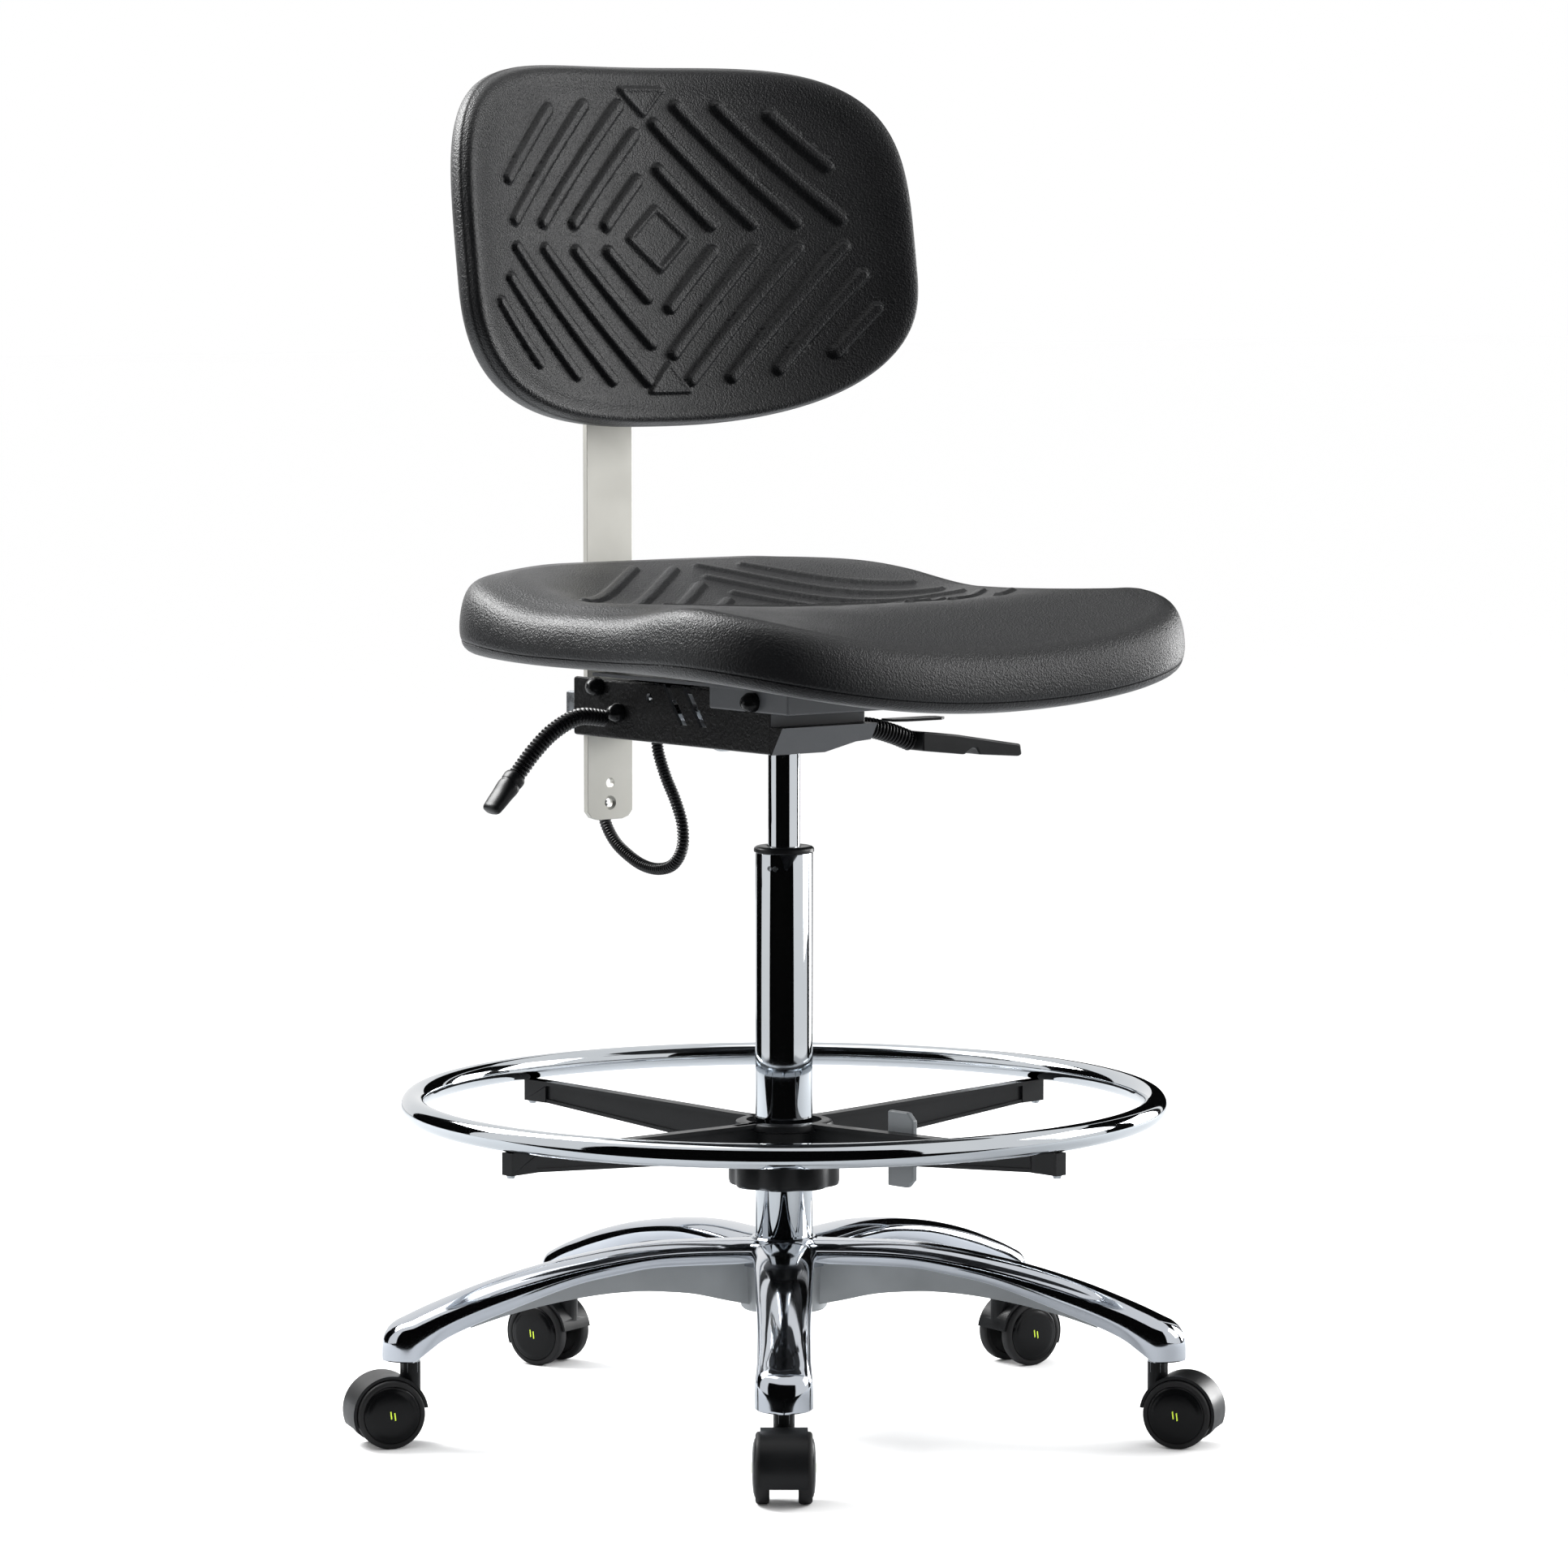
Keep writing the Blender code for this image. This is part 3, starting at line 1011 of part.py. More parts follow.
# --- assembly -----------------------------------------------------------------------------------
def stand_on_origin(root):
    """Shifts the whole chair so that its bounding box stands centred on the origin."""
    bpy.context.view_layer.update()
    pieces = [obj for obj in PARTS.objects if obj.type == "MESH"]
    corners = [obj.matrix_world @ vert.co for obj in pieces for vert in obj.data.vertices]
    low = Vector([min(corner[axis] for corner in corners) for axis in range(3)])
    high = Vector([max(corner[axis] for corner in corners) for axis in range(3)])
    root.location = (-(low.x + high.x) / 2, -(low.y + high.y) / 2, -low.z)
    bpy.context.view_layer.update()


def build_chair():
    root = empty("chair", (0, 0, 0))
    hang(star_base(), root)
    for piece in column_pieces():
        hang(piece, root)
    for index in range(LEG_COUNT):
        caster(index, root)
    foot_ring_pieces(root)
    swivel = empty("seat_swivel", (0, 0, TUBE_BOTTOM), root)
    for piece in rod_pieces():
        hang(piece, swivel)
    lift = empty("gas_lift", (0, 0, TUBE_TOP), swivel)
    hang(gas_cylinder(), lift)
    button = empty("valve_press", (0, 0, CYLINDER_TOP), lift)
    hang(valve_button(), button)
    mechanism_pieces(lift)
    tilt = empty("seat_tilt", (0, TILT_AXLE_Y, TILT_AXLE_Z), lift)
    seat_bracket_pieces(tilt)
    hang(seat_cushion(), tilt)
    hinge = empty("back_tilt", (0, BACK_PIVOT_Y, BACK_PIVOT_Z), lift)
    back_arm_pieces(hinge)
    slide = empty("back_height", (0, BAR_FRONT, ARM_TOP), hinge)
    back_bar_pieces(slide)
    hang(backrest_cushion(), slide)
    back_lever_pieces(empty("back_lever_lift", beside_housing(NECK_ROUTE, -1)[0], lift))
    height_lever_pieces(empty("height_lever_lift", beside_housing(COIL_ROUTE, 1)[0], lift))
    tilt_lever(empty("tilt_lever_turn", (BRACKET_HALF + 0.0020, TILT_LEVER_Y, TILT_LEVER_Z), lift))
    stand_on_origin(root)


clear_scene()
PARTS = new_collection("drafting_chair")
CUTTERS = new_collection("cutters")
build_chair()
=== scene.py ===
"""Drafting chair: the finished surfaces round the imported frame.

A moulded polyurethane seat and back on a steel mechanism, a chromed gas lift, a chromed foot ring and
a polished star base on twin-wheel casters. Metres, +Z up. Sizes are measured from the column's axis,
and every piece is then moved to where the frame has its column.
"""

import logging
import math
from dataclasses import dataclass
from enum import Enum
from typing import Callable, Iterable, Sequence

import bmesh
import bpy
import numpy as np
from mathutils import Matrix, Vector


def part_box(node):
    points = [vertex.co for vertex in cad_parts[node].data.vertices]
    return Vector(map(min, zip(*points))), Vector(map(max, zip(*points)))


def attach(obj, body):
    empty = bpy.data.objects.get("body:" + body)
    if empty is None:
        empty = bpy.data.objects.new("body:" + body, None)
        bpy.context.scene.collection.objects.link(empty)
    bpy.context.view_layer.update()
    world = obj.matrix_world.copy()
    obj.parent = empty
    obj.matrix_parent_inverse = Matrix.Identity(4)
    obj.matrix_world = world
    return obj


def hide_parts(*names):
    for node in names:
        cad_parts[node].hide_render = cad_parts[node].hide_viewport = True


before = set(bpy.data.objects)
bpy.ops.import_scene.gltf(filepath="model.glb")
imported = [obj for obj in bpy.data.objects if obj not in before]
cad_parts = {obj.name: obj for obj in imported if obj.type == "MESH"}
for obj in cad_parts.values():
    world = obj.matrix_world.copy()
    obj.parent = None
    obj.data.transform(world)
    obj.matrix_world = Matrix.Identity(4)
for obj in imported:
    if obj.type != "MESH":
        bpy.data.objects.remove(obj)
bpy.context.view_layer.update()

LOG = logging.getLogger("drafting_chair")
MM = 0.001
TAU = 2.0 * math.pi
ON_AXIS = 0.00001  # radius that stands for none, so that a ring of points still has a direction
CURVE_STEPS = 20  # chords between two points of a route

Points = np.ndarray
Profile = Sequence[tuple[float, float]]
Route = Sequence[tuple[float, float, float]]


def column_axis() -> Vector:
    """Where the column's axis meets the floor."""
    low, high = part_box("column_tube")
    return Vector(((low.x + high.x) / 2, (low.y + high.y) / 2, 0.0))


AXIS = column_axis()


# --- finishes -----------------------------------------------------------------------------------
class Grain(Enum):
    """How a surface's fine relief was made."""

    NONE = "none"
    LEATHER = "leather"
    WRINKLE = "wrinkle"
    SPARK = "spark"
    CAST = "cast"
    BRUSHED = "brushed"


def linear(hex_colour: str) -> tuple[float, float, float, float]:
    """An sRGB hex colour as linear light.

    Args:
        hex_colour: Six hex digits.

    Returns:
        Red, green, blue and an alpha of one.
    """
    parts = [int(hex_colour[i:i + 2], 16) / 255 for i in (0, 2, 4)]
    light = [c / 12.92 if c <= 0.04045 else ((c + 0.055) / 1.055) ** 2.4 for c in parts]
    return (light[0], light[1], light[2], 1.0)


def add_node(tree: bpy.types.NodeTree, kind: str, inputs: dict | None = None,
             **settings: object) -> bpy.types.Node:
    """Adds a node, sets it up and feeds its sockets.

    Args:
        tree: The tree that takes the node.
        kind: Blender's name of the node's type.
        inputs: A value or an output socket for each input, by name or number.
        **settings: Properties of the node itself.

    Returns:
        The new node.
    """
    node = tree.nodes.new(kind)
    for name, value in settings.items():
        setattr(node, name, value)
    for key, value in (inputs or {}).items():
        socket = node.inputs[key]
        if isinstance(value, bpy.types.NodeSocket):
            tree.links.new(value, socket)
        else:
            socket.default_value = value
    return node


@dataclass(frozen=True)
class Finish:
    """One surface: what it is made of, how it was made, and what that gives the eye.

    Attributes:
        name: The maker's name for it.
        colour: Base colour.
        tint: Second colour, which the base drifts towards in soft patches.
        metallic: One for bare or plated metal.
        roughness: Typical roughness.
        drift: How far roughness wanders either way.
        grain: Kind of fine relief.
        grain_size: Width of one grain, in metres.
        grain_depth: Height of the relief, in metres.
        slot: A material slot's name; not used.
        patch: Width of a soft patch of colour or roughness, in metres.
        coat: Weight of a clear gloss layer.
        specular: Strength of the surface reflection of what isn't metal.
    """

    name: str
    colour: str
    tint: str
    metallic: float
    roughness: float
    drift: float
    grain: Grain
    grain_size: float
    grain_depth: float
    slot: str
    patch: float = 0.06
    coat: float = 0.0
    specular: float = 0.5

    def material(self) -> bpy.types.Material:
        """The finish's material, made once."""
        found = bpy.data.materials.get(self.name)
        if found:
            return found
        made = bpy.data.materials.new(self.name)
        made.use_nodes = True
        tree = made.node_tree
        tree.nodes.clear()
        place = add_node(tree, "ShaderNodeTexCoord").outputs["Object"]
        patches = add_node(tree, "ShaderNodeTexNoise", {"Vector": place, "Scale": 1.0 / self.patch,
                                                        "Detail": 3.0, "Roughness": 0.55})
        mix = add_node(tree, "ShaderNodeMix", {"Factor": patches.outputs["Fac"], 6: linear(self.colour),
                                               7: linear(self.tint)}, data_type="RGBA")
        rough = add_node(tree, "ShaderNodeMapRange", {
            "Value": patches.outputs["Fac"], "From Min": 0.3, "From Max": 0.7,
            "To Min": max(self.roughness - self.drift, 0.01), "To Max": self.roughness + self.drift})
        shader = add_node(tree, "ShaderNodeBsdfPrincipled", {
            "Base Color": mix.outputs[2], "Metallic": self.metallic, "Roughness": rough.outputs["Result"],
            "Coat Weight": self.coat, "Coat Roughness": 0.12, "Specular IOR Level": self.specular})
        relief = self.relief(tree, place)
        if relief:
            bump = add_node(tree, "ShaderNodeBump", {"Height": relief, "Distance": self.grain_depth,
                                                     "Strength": 1.0})
            tree.links.new(bump.outputs["Normal"], shader.inputs["Normal"])
        add_node(tree, "ShaderNodeOutputMaterial", {"Surface": shader.outputs["BSDF"]})
        return made

    def relief(self, tree: bpy.types.NodeTree, place: bpy.types.NodeSocket) -> bpy.types.NodeSocket | None:
        """The height pattern of the grain.

        Args:
            tree: The material's tree.
            place: Coordinates in metres.

        Returns:
            A height from zero to one, or None for a smooth surface.
        """
        scale = 1.0 / self.grain_size
        if self.grain is Grain.NONE:
            return None
        if self.grain is Grain.LEATHER:
            cells = add_node(tree, "ShaderNodeTexVoronoi", {"Vector": place, "Scale": scale},
                             feature="SMOOTH_F1")
            fine = add_node(tree, "ShaderNodeTexNoise", {"Vector": place, "Scale": scale * 1.7,
                                                         "Detail": 2.0})
            both = add_node(tree, "ShaderNodeMath", {0: cells.outputs["Distance"], 1: fine.outputs["Fac"]},
                            operation="ADD")
            return both.outputs[0]
        if self.grain is Grain.BRUSHED:
            long = add_node(tree, "ShaderNodeMapping", {"Vector": place,
                                                        "Scale": (scale, scale, scale * 0.02)})
            lines = add_node(tree, "ShaderNodeTexNoise", {"Vector": long.outputs["Vector"], "Scale": 1.0,
                                                          "Detail": 3.0})
            return lines.outputs["Fac"]
        detail = {Grain.WRINKLE: 3.0, Grain.SPARK: 1.0, Grain.CAST: 5.0}[self.grain]
        noise = add_node(tree, "ShaderNodeTexNoise", {"Vector": place, "Scale": scale * 0.6, "Detail": detail,
                                                      "Roughness": 0.6, "Distortion": 0.4})
        return noise.outputs["Fac"]


# Self-skinning polyurethane foam, moulded against an etched tool: near black, a soft sheen broken
# by a fine leather grain that glitters a little under a broad light.
FOAM_SKIN = Finish("moulded_polyurethane_skin", "0B0C0E", "101113", 0.0, 0.36, 0.04, Grain.LEATHER,
                   1.7 * MM, 0.44 * MM, "black_polyurethane", specular=0.32)
# Bright chrome over nickel on drawn steel tube: a mirror, with only a breath of unevenness.
CHROME = Finish("chrome_plated_tube", "CBCFD3", "BFC4C9", 1.0, 0.045, 0.015, Grain.NONE,
                1.0 * MM, 0.0, "chrome_plate")
# Buffed aluminium die casting: a mirror that is a little softer and cooler than chrome.
BUFFED = Finish("buffed_aluminium_casting", "C8CCD2", "B9BEC6", 1.0, 0.075, 0.03, Grain.NONE,
                8.0 * MM, 0.05 * MM, "polished_aluminium")
# The same casting where no wheel reaches it: shot-blasted, light grey and matt.
AS_CAST = Finish("blasted_aluminium_casting", "C6C9CB", "B0B3B5", 1.0, 0.52, 0.07, Grain.CAST,
                 1.6 * MM, 0.10 * MM, "polished_aluminium")
# Electroless nickel on a rolled steel bar: warm light grey, satin, with rolling lines along it.
NICKEL = Finish("nickel_plated_bar", "C6C5BF", "BEBDB7", 1.0, 0.55, 0.04, Grain.BRUSHED,
                0.5 * MM, 0.012 * MM, "nickel_plate")
# Bright zinc on pressed steel and screws: cool grey, slightly cloudy.
ZINC = Finish("zinc_plated_steel", "B9BDC1", "9DA2A7", 1.0, 0.30, 0.08, Grain.CAST,
              1.2 * MM, 0.02 * MM, "zinc_plate", patch=0.012)
# Wrinkle powder coat on folded sheet: black, with coarse beads that catch the light.
WRINKLE_COAT = Finish("wrinkle_powder_coat", "080808", "0D0D0E", 0.0, 0.32, 0.06, Grain.WRINKLE,
                      1.9 * MM, 0.80 * MM, "textured_black_paint", patch=0.01, specular=0.14)
# Fine-texture powder coat on the upper bracket: charcoal, satin, and greyer where light grazes it.
# On the housing it paints the forward faces lighter than its black coat: painted light on its front.
SATIN_COAT_AND_PAINTED_FRONT_LIGHT = Finish("satin_powder_coat_and_painted_front_light", "393B3E", "404245", 0.0, 0.36, 0.05, Grain.SPARK,
                    0.8 * MM, 0.06 * MM, "textured_black_paint", patch=0.02, specular=0.35)
# Glass-filled nylon from a spark-eroded tool: black, dry, with a very fine grain.
NYLON = Finish("glass_filled_nylon", "0B0C0D", "111214", 0.0, 0.34, 0.06, Grain.SPARK,
               0.7 * MM, 0.05 * MM, "black_nylon", patch=0.03, specular=0.22)
# The same nylon from a polished tool, on the wheels' covers and the pins' caps.
GLOSS_NYLON = Finish("polished_tool_nylon", "050506", "090A0B", 0.0, 0.22, 0.04, Grain.NONE,
                     1.0 * MM, 0.0, "black_nylon", patch=0.02, specular=0.20)
# Grey acetal of the ring's release lever.
GREY_ACETAL = Finish("grey_acetal", "5A5E61", "666A6D", 0.0, 0.42, 0.05, Grain.SPARK,
                     0.7 * MM, 0.03 * MM, "grey_nylon")
# Conductive polyurethane tread: dull black, faintly scuffed.
TREAD = Finish("polyurethane_tread", "121213", "1C1C1D", 0.0, 0.55, 0.10, Grain.CAST,
               2.0 * MM, 0.04 * MM, "black_rubber", patch=0.012, specular=0.25)
# Ribbed PVC conduit: black with a soft gloss on each crest.
CONDUIT = Finish("ribbed_conduit", "08080A", "0D0D0F", 0.0, 0.28, 0.05, Grain.NONE,
                 1.0 * MM, 0.0, "black_rubber", patch=0.02, specular=0.35)
# Pad-printed mark on each wheel cover.
PRINT = Finish("yellow_green_print", "C9E23A", "BBD62F", 0.0, 0.45, 0.03, Grain.NONE,
               1.0 * MM, 0.0, "black_nylon")


# --- mesh work ----------------------------------------------------------------------------------
def smooth_step(value: Points | float, low: float, high: float) -> Points | float:
    """A soft step from zero at low to one at high."""
    share = np.clip((np.asarray(value, float) - low) / (high - low), 0.0, 1.0)
    return share * share * (3 - 2 * share)


def curve_through(stations: Sequence[tuple[float, float]], at: Points | float) -> Points | float:
    """A smooth curve through (place, value) stations, by monotone slopes.

    Args:
        stations: Places in rising order, each with its value.
        at: Where to read the curve.

    Returns:
        The values there.
    """
    xs = np.array([s[0] for s in stations])
    ys = np.array([s[1] for s in stations])
    slope = np.diff(ys) / np.diff(xs)
    tangents = np.concatenate([[slope[0]], (slope[1:] + slope[:-1]) / 2, [slope[-1]]])
    flat = np.concatenate([[False], slope[1:] * slope[:-1] <= 0, [False]])
    tangents[flat] = 0.0
    at = np.clip(np.asarray(at, float), xs[0], xs[-1])
    i = np.clip(np.searchsorted(xs, at, side="right") - 1, 0, len(xs) - 2)
    h = xs[i + 1] - xs[i]
    t = (at - xs[i]) / h
    return ((2 * t ** 3 - 3 * t ** 2 + 1) * ys[i] + (t ** 3 - 2 * t ** 2 + t) * h * tangents[i]
            + (3 * t ** 2 - 2 * t ** 3) * ys[i + 1] + (t ** 3 - t ** 2) * h * tangents[i + 1])


@dataclass
class Shape:
    """A mesh in the making: points and faces, in the chair's own frame."""

    points: Points
    faces: list[tuple[int, ...]]

    def moved(self, matrix: Matrix) -> "Shape":
        """The shape under a matrix."""
        turn = np.array(matrix)
        return Shape(self.points @ turn[:3, :3].T + turn[:3, 3], self.faces)

    def joined(self, others: Iterable["Shape"]) -> "Shape":
        """This shape and others as one."""
        points, faces = [self.points], list(self.faces)
        count = len(self.points)
        for other in others:
            points.append(other.points)
            faces += [tuple(i + count for i in face) for face in other.faces]
            count += len(other.points)
        return Shape(np.concatenate(points), faces)


def join_all(shapes: Sequence[Shape]) -> Shape:
    """Several shapes as one."""
    return shapes[0].joined(shapes[1:])


def ring_shape(rings: Points, close_ends: bool = True, loop: bool = False) -> Shape:
    """Closed rings of points joined in order.

    Args:
        rings: An array of ring, point and coordinate.
        close_ends: Fills the first and the last ring.
        loop: Joins the last ring to the first.

    Returns:
        The shape.
    """
    count, size = rings.shape[:2]
    faces = []
    for r in range(count if loop else count - 1):
        low, high = r * size, ((r + 1) % count) * size
        faces += [(low + i, low + (i + 1) % size, high + (i + 1) % size, high + i) for i in range(size)]
    if close_ends and not loop:
        faces.append(tuple(range(size - 1, -1, -1)))
        faces.append(tuple((count - 1) * size + i for i in range(size)))
    return Shape(rings.reshape(-1, 3), faces)


def turned(profile: Profile, steps: int = 72) -> Shape:
    """A profile of (radius, height) turned about Z; it closes on the axis or on itself.

    Args:
        profile: Points in order.
        steps: Steps round the axis.

    Returns:
        The shape.
    """
    angles = np.arange(steps) * TAU / steps
    closed = profile[0] == profile[-1]
    line = profile[:-1] if closed else profile
    rings = np.array([[(max(r, ON_AXIS) * math.cos(a), max(r, ON_AXIS) * math.sin(a), z) for a in angles]
                      for r, z in line])
    return ring_shape(rings, close_ends=not closed, loop=closed)


def swept(path: Points, radii: Points, sides: int) -> Shape:
    """A tube along a path, with its own radius at each point.

    Args:
        path: Points along the middle.
        radii: Radius at each of them.
        sides: Sides of the tube.

    Returns:
        The shape.
    """
    tangents = np.gradient(path, axis=0)
    tangents /= np.linalg.norm(tangents, axis=1)[:, None]
    normal = np.cross(tangents[0], (0.0, 0.0, 1.0))
    if np.linalg.norm(normal) < 0.1:
        normal = np.cross(tangents[0], (1.0, 0.0, 0.0))
    angles = np.arange(sides) * TAU / sides
    rings = []
    for point, tangent, radius in zip(path, tangents, radii):
        normal = normal - tangent * (normal @ tangent)
        normal /= np.linalg.norm(normal)
        other = np.cross(tangent, normal)
        rings.append([point + radius * (math.cos(a) * normal + math.sin(a) * other) for a in angles])
    return ring_shape(np.array(rings))


def along_route(route: Route, spacing: float) -> Points:
    """Points at an even spacing on the smooth curve through a route.

    Args:
        route: The route's own points.
        spacing: Distance between the points wanted.

    Returns:
        The points.
    """
    knots = np.array(route, float)
    padded = np.vstack([2 * knots[0] - knots[1], knots, 2 * knots[-1] - knots[-2]])
    fine = []
    for a, b, c, d in zip(padded, padded[1:], padded[2:], padded[3:]):
        for t in np.linspace(0.0, 1.0, CURVE_STEPS, endpoint=False):
            fine.append((2 * b + (c - a) * t + (2 * a - 5 * b + 4 * c - d) * t ** 2
                         + (3 * b - a - 3 * c + d) * t ** 3) / 2)
    fine.append(knots[-1])
    fine = np.array(fine)
    lengths = np.concatenate([[0.0], np.cumsum(np.linalg.norm(np.diff(fine, axis=0), axis=1))])
    count = max(2, round(lengths[-1] / spacing))
    wanted = np.linspace(0.0, lengths[-1], count + 1)
    return np.stack([np.interp(wanted, lengths, fine[:, k]) for k in range(3)], axis=1)


class Axis(Enum):
    """The axis that an outline is pushed along, by its place in a point."""

    X = 0
    Y = 1
    Z = 2


def extruded(outline: Profile, low: float, high: float, axis: Axis = Axis.Z) -> Shape:
    """A flat outline made solid between two places on an axis.

    Args:
        outline: Points on the other two axes.
        low: Where the solid starts.
        high: Where it ends.
        axis: The axis it is pushed along.

    Returns:
        The shape.
    """
    flat = np.array(outline, float)
    return ring_shape(np.stack([np.insert(flat, axis.value, place, axis=1) for place in (low, high)]))


def block(low: Sequence[float], high: Sequence[float]) -> Shape:
    """A plain box between two corners, for cutting and joining."""
    outline = [(low[0], low[1]), (high[0], low[1]), (high[0], high[1]), (low[0], high[1])]
    return extruded(outline, low[2], high[2])


def raw_object(name: str, shape: Shape) -> bpy.types.Object:
    """A shape as an object at the origin, moved to the frame's column, its faces pointing out.

    Args:
        name: The object's name.
        shape: Its shape, measured from the column's axis.

    Returns:
        The object.
    """
    mesh = bpy.data.meshes.new(name)
    points = shape.points + np.array(AXIS)
    mesh.from_pydata(points.tolist(), [], shape.faces)
    made = bpy.data.objects.new(name, mesh)
    bpy.context.scene.collection.objects.link(made)
    tidy_mesh(mesh)
    return made


def tidy_mesh(mesh: bpy.types.Mesh, merge: float = 0.000002) -> None:
    """Merges a mesh's doubles and points its faces out.

    Args:
        mesh: The mesh.
        merge: Points closer than this are made one.
    """
    work = bmesh.new()
    work.from_mesh(mesh)
    bmesh.ops.remove_doubles(work, verts=work.verts, dist=merge)
    bmesh.ops.recalc_face_normals(work, faces=work.faces)
    work.to_mesh(mesh)
    work.free()


def apply_modifiers(piece: bpy.types.Object) -> None:
    """Makes a piece's modifiers part of its mesh.

    Args:
        piece: The piece, which is left without modifiers.
    """
    bpy.context.view_layer.update()
    seen = piece.evaluated_get(bpy.context.evaluated_depsgraph_get())
    mesh = bpy.data.meshes.new_from_object(seen)
    piece.modifiers.clear()
    piece.data = mesh


def boolean(piece: bpy.types.Object, tool: Shape, operation: str) -> None:
    """Cuts or joins a piece with a shape.

    Args:
        piece: The piece.
        tool: The shape.
        operation: UNION or DIFFERENCE.
    """
    other = raw_object("tool", tool)
    change = piece.modifiers.new(operation, "BOOLEAN")
    change.operation = operation
    change.object = other
    change.solver = "EXACT"
    apply_modifiers(piece)
    bpy.data.objects.remove(other)


def bored(piece: bpy.types.Object, radius: float, low: float, high: float, steps: int = 72) -> None:
    """Cuts a round hole about the column's axis between two heights."""
    boolean(piece, turned([(0.0, high), (radius, high), (radius, low), (0.0, low)], steps), "DIFFERENCE")


def softened(piece: bpy.types.Object, width: float, segments: int = 2, angle: float = 35.0) -> None:
    """Rounds a piece's sharp edges.

    Args:
        piece: The piece.
        width: Width of the rounding.
        segments: Strips in it.
        angle: Edges sharper than this, in degrees, are rounded.
    """
    dissolve_flat(piece.data)
    bevel = piece.modifiers.new("Edges", "BEVEL")
    bevel.width = width
    bevel.segments = segments
    bevel.limit_method = "ANGLE"
    bevel.angle_limit = math.radians(angle)
    apply_modifiers(piece)


def dissolve_flat(mesh: bpy.types.Mesh) -> None:
    """Joins the faces that lie in one plane, so that roundings run clean.

    Args:
        mesh: The mesh.
    """
    work = bmesh.new()
    work.from_mesh(mesh)
    bmesh.ops.dissolve_limit(work, angle_limit=math.radians(0.5), verts=work.verts, edges=work.edges)
    work.to_mesh(mesh)
    work.free()


def dress(piece: bpy.types.Object, finish: Finish, body: str, nodes: Sequence[str] = (),
          sharp: float = 38.0, flat: bool = False) -> bpy.types.Object:
    """Gives a finished mesh its surface, its body and the nodes it stands for.

    Args:
        piece: The piece.
        finish: Its finish.
        body: The body it rides on.
        nodes: Nodes of the frame that it stands for.
        sharp: Edges sharper than this, in degrees, are shaded sharp.
        flat: Shades its large faces flat up to their roundings.

    Returns:
        The piece.
    """
    piece.data.materials.clear()
    piece.data.materials.append(finish.material())
    piece.data.shade_smooth()
    piece.data.set_sharp_from_angle(angle=math.radians(sharp))
    if flat:
        weigh = piece.modifiers.new("Normals", "WEIGHTED_NORMAL")
        weigh.keep_sharp = True
        apply_modifiers(piece)
    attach(piece, body)
    if nodes:
        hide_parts(*nodes)
    LOG.info("%s: %d faces on %s", piece.name, len(piece.data.polygons), body)
    return piece


def node_copy(name: str, node: str) -> bpy.types.Object:
    """A node of the frame as an object of its own, with its loose triangles joined.

    Args:
        name: The copy's name.
        node: The node.

    Returns:
        The copy.
    """
    made = bpy.data.objects.new(name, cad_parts[node].data.copy())
    bpy.context.scene.collection.objects.link(made)
    tidy_mesh(made.data, 0.01 * MM)
    return made


def refined(name: str, node: str, finish: Finish, body: str, width: float = 0.0006,
            sharp: float = 38.0) -> bpy.types.Object:
    """A node of the frame with its edges rounded, as a piece of its own.

    Args:
        name: The piece's name.
        node: The node.
        finish: Its finish.
        body: The body it rides on.
        width: Width of the rounding.
        sharp: Edges sharper than this, in degrees, are rounded and shaded sharp.

    Returns:
        The piece.
    """
    made = node_copy(name, node)
    softened(made, width, 2, sharp)
    return dress(made, finish, body, (node,), sharp, True)


def finish_node(node: str, finish: Finish) -> None:
    """Gives a node of the frame that stays in sight its finish.

    Args:
        node: The node.
        finish: Its finish.
    """
    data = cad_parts[node].data
    data.materials.clear()
    data.materials.append(finish.material())
    LOG.info("%s: kept, in %s", node, finish.name)


def ring_tree() -> bpy.types.NodeTree:
    """Geometry Nodes that set round rings along a path at an even pitch, each square to it.

    Returns:
        The tree, made once.
    """
    found = bpy.data.node_groups.get("rings_along_path")
    if found:
        return found
    tree = bpy.data.node_groups.new("rings_along_path", "GeometryNodeTree")
    for name, kind in (("Path", "NodeSocketGeometry"), ("Ring radius", "NodeSocketFloat"),
                       ("Wire radius", "NodeSocketFloat"), ("Pitch", "NodeSocketFloat"),
                       ("Finish", "NodeSocketMaterial")):
        tree.interface.new_socket(name, in_out="INPUT", socket_type=kind)
    tree.interface.new_socket("Rings", in_out="OUTPUT", socket_type="NodeSocketGeometry")
    given = add_node(tree, "NodeGroupInput").outputs
    line = add_node(tree, "GeometryNodeMeshToCurve", {"Mesh": given["Path"]})
    even = add_node(tree, "GeometryNodeResampleCurve", {"Curve": line.outputs["Curve"],
                                                        "Length": given["Pitch"]}, mode="LENGTH")
    circle = add_node(tree, "GeometryNodeCurvePrimitiveCircle", {"Resolution": 36,
                                                                "Radius": given["Ring radius"]})
    wire = add_node(tree, "GeometryNodeCurvePrimitiveCircle", {"Resolution": 10,
                                                              "Radius": given["Wire radius"]})
    ring = add_node(tree, "GeometryNodeCurveToMesh", {"Curve": circle.outputs["Curve"],
                                                      "Profile Curve": wire.outputs["Curve"]})
    spots = add_node(tree, "GeometryNodeCurveToPoints", {"Curve": even.outputs["Curve"]}, mode="EVALUATED")
    placed = add_node(tree, "GeometryNodeInstanceOnPoints", {
        "Points": spots.outputs["Points"], "Instance": ring.outputs["Mesh"],
        "Rotation": spots.outputs["Rotation"]})
    whole = add_node(tree, "GeometryNodeRealizeInstances", {"Geometry": placed.outputs["Instances"]})
    painted = add_node(tree, "GeometryNodeSetMaterial", {"Geometry": whole.outputs["Geometry"],
                                                         "Material": given["Finish"]})
    add_node(tree, "NodeGroupOutput", {"Rings": painted.outputs["Geometry"]})
    return tree


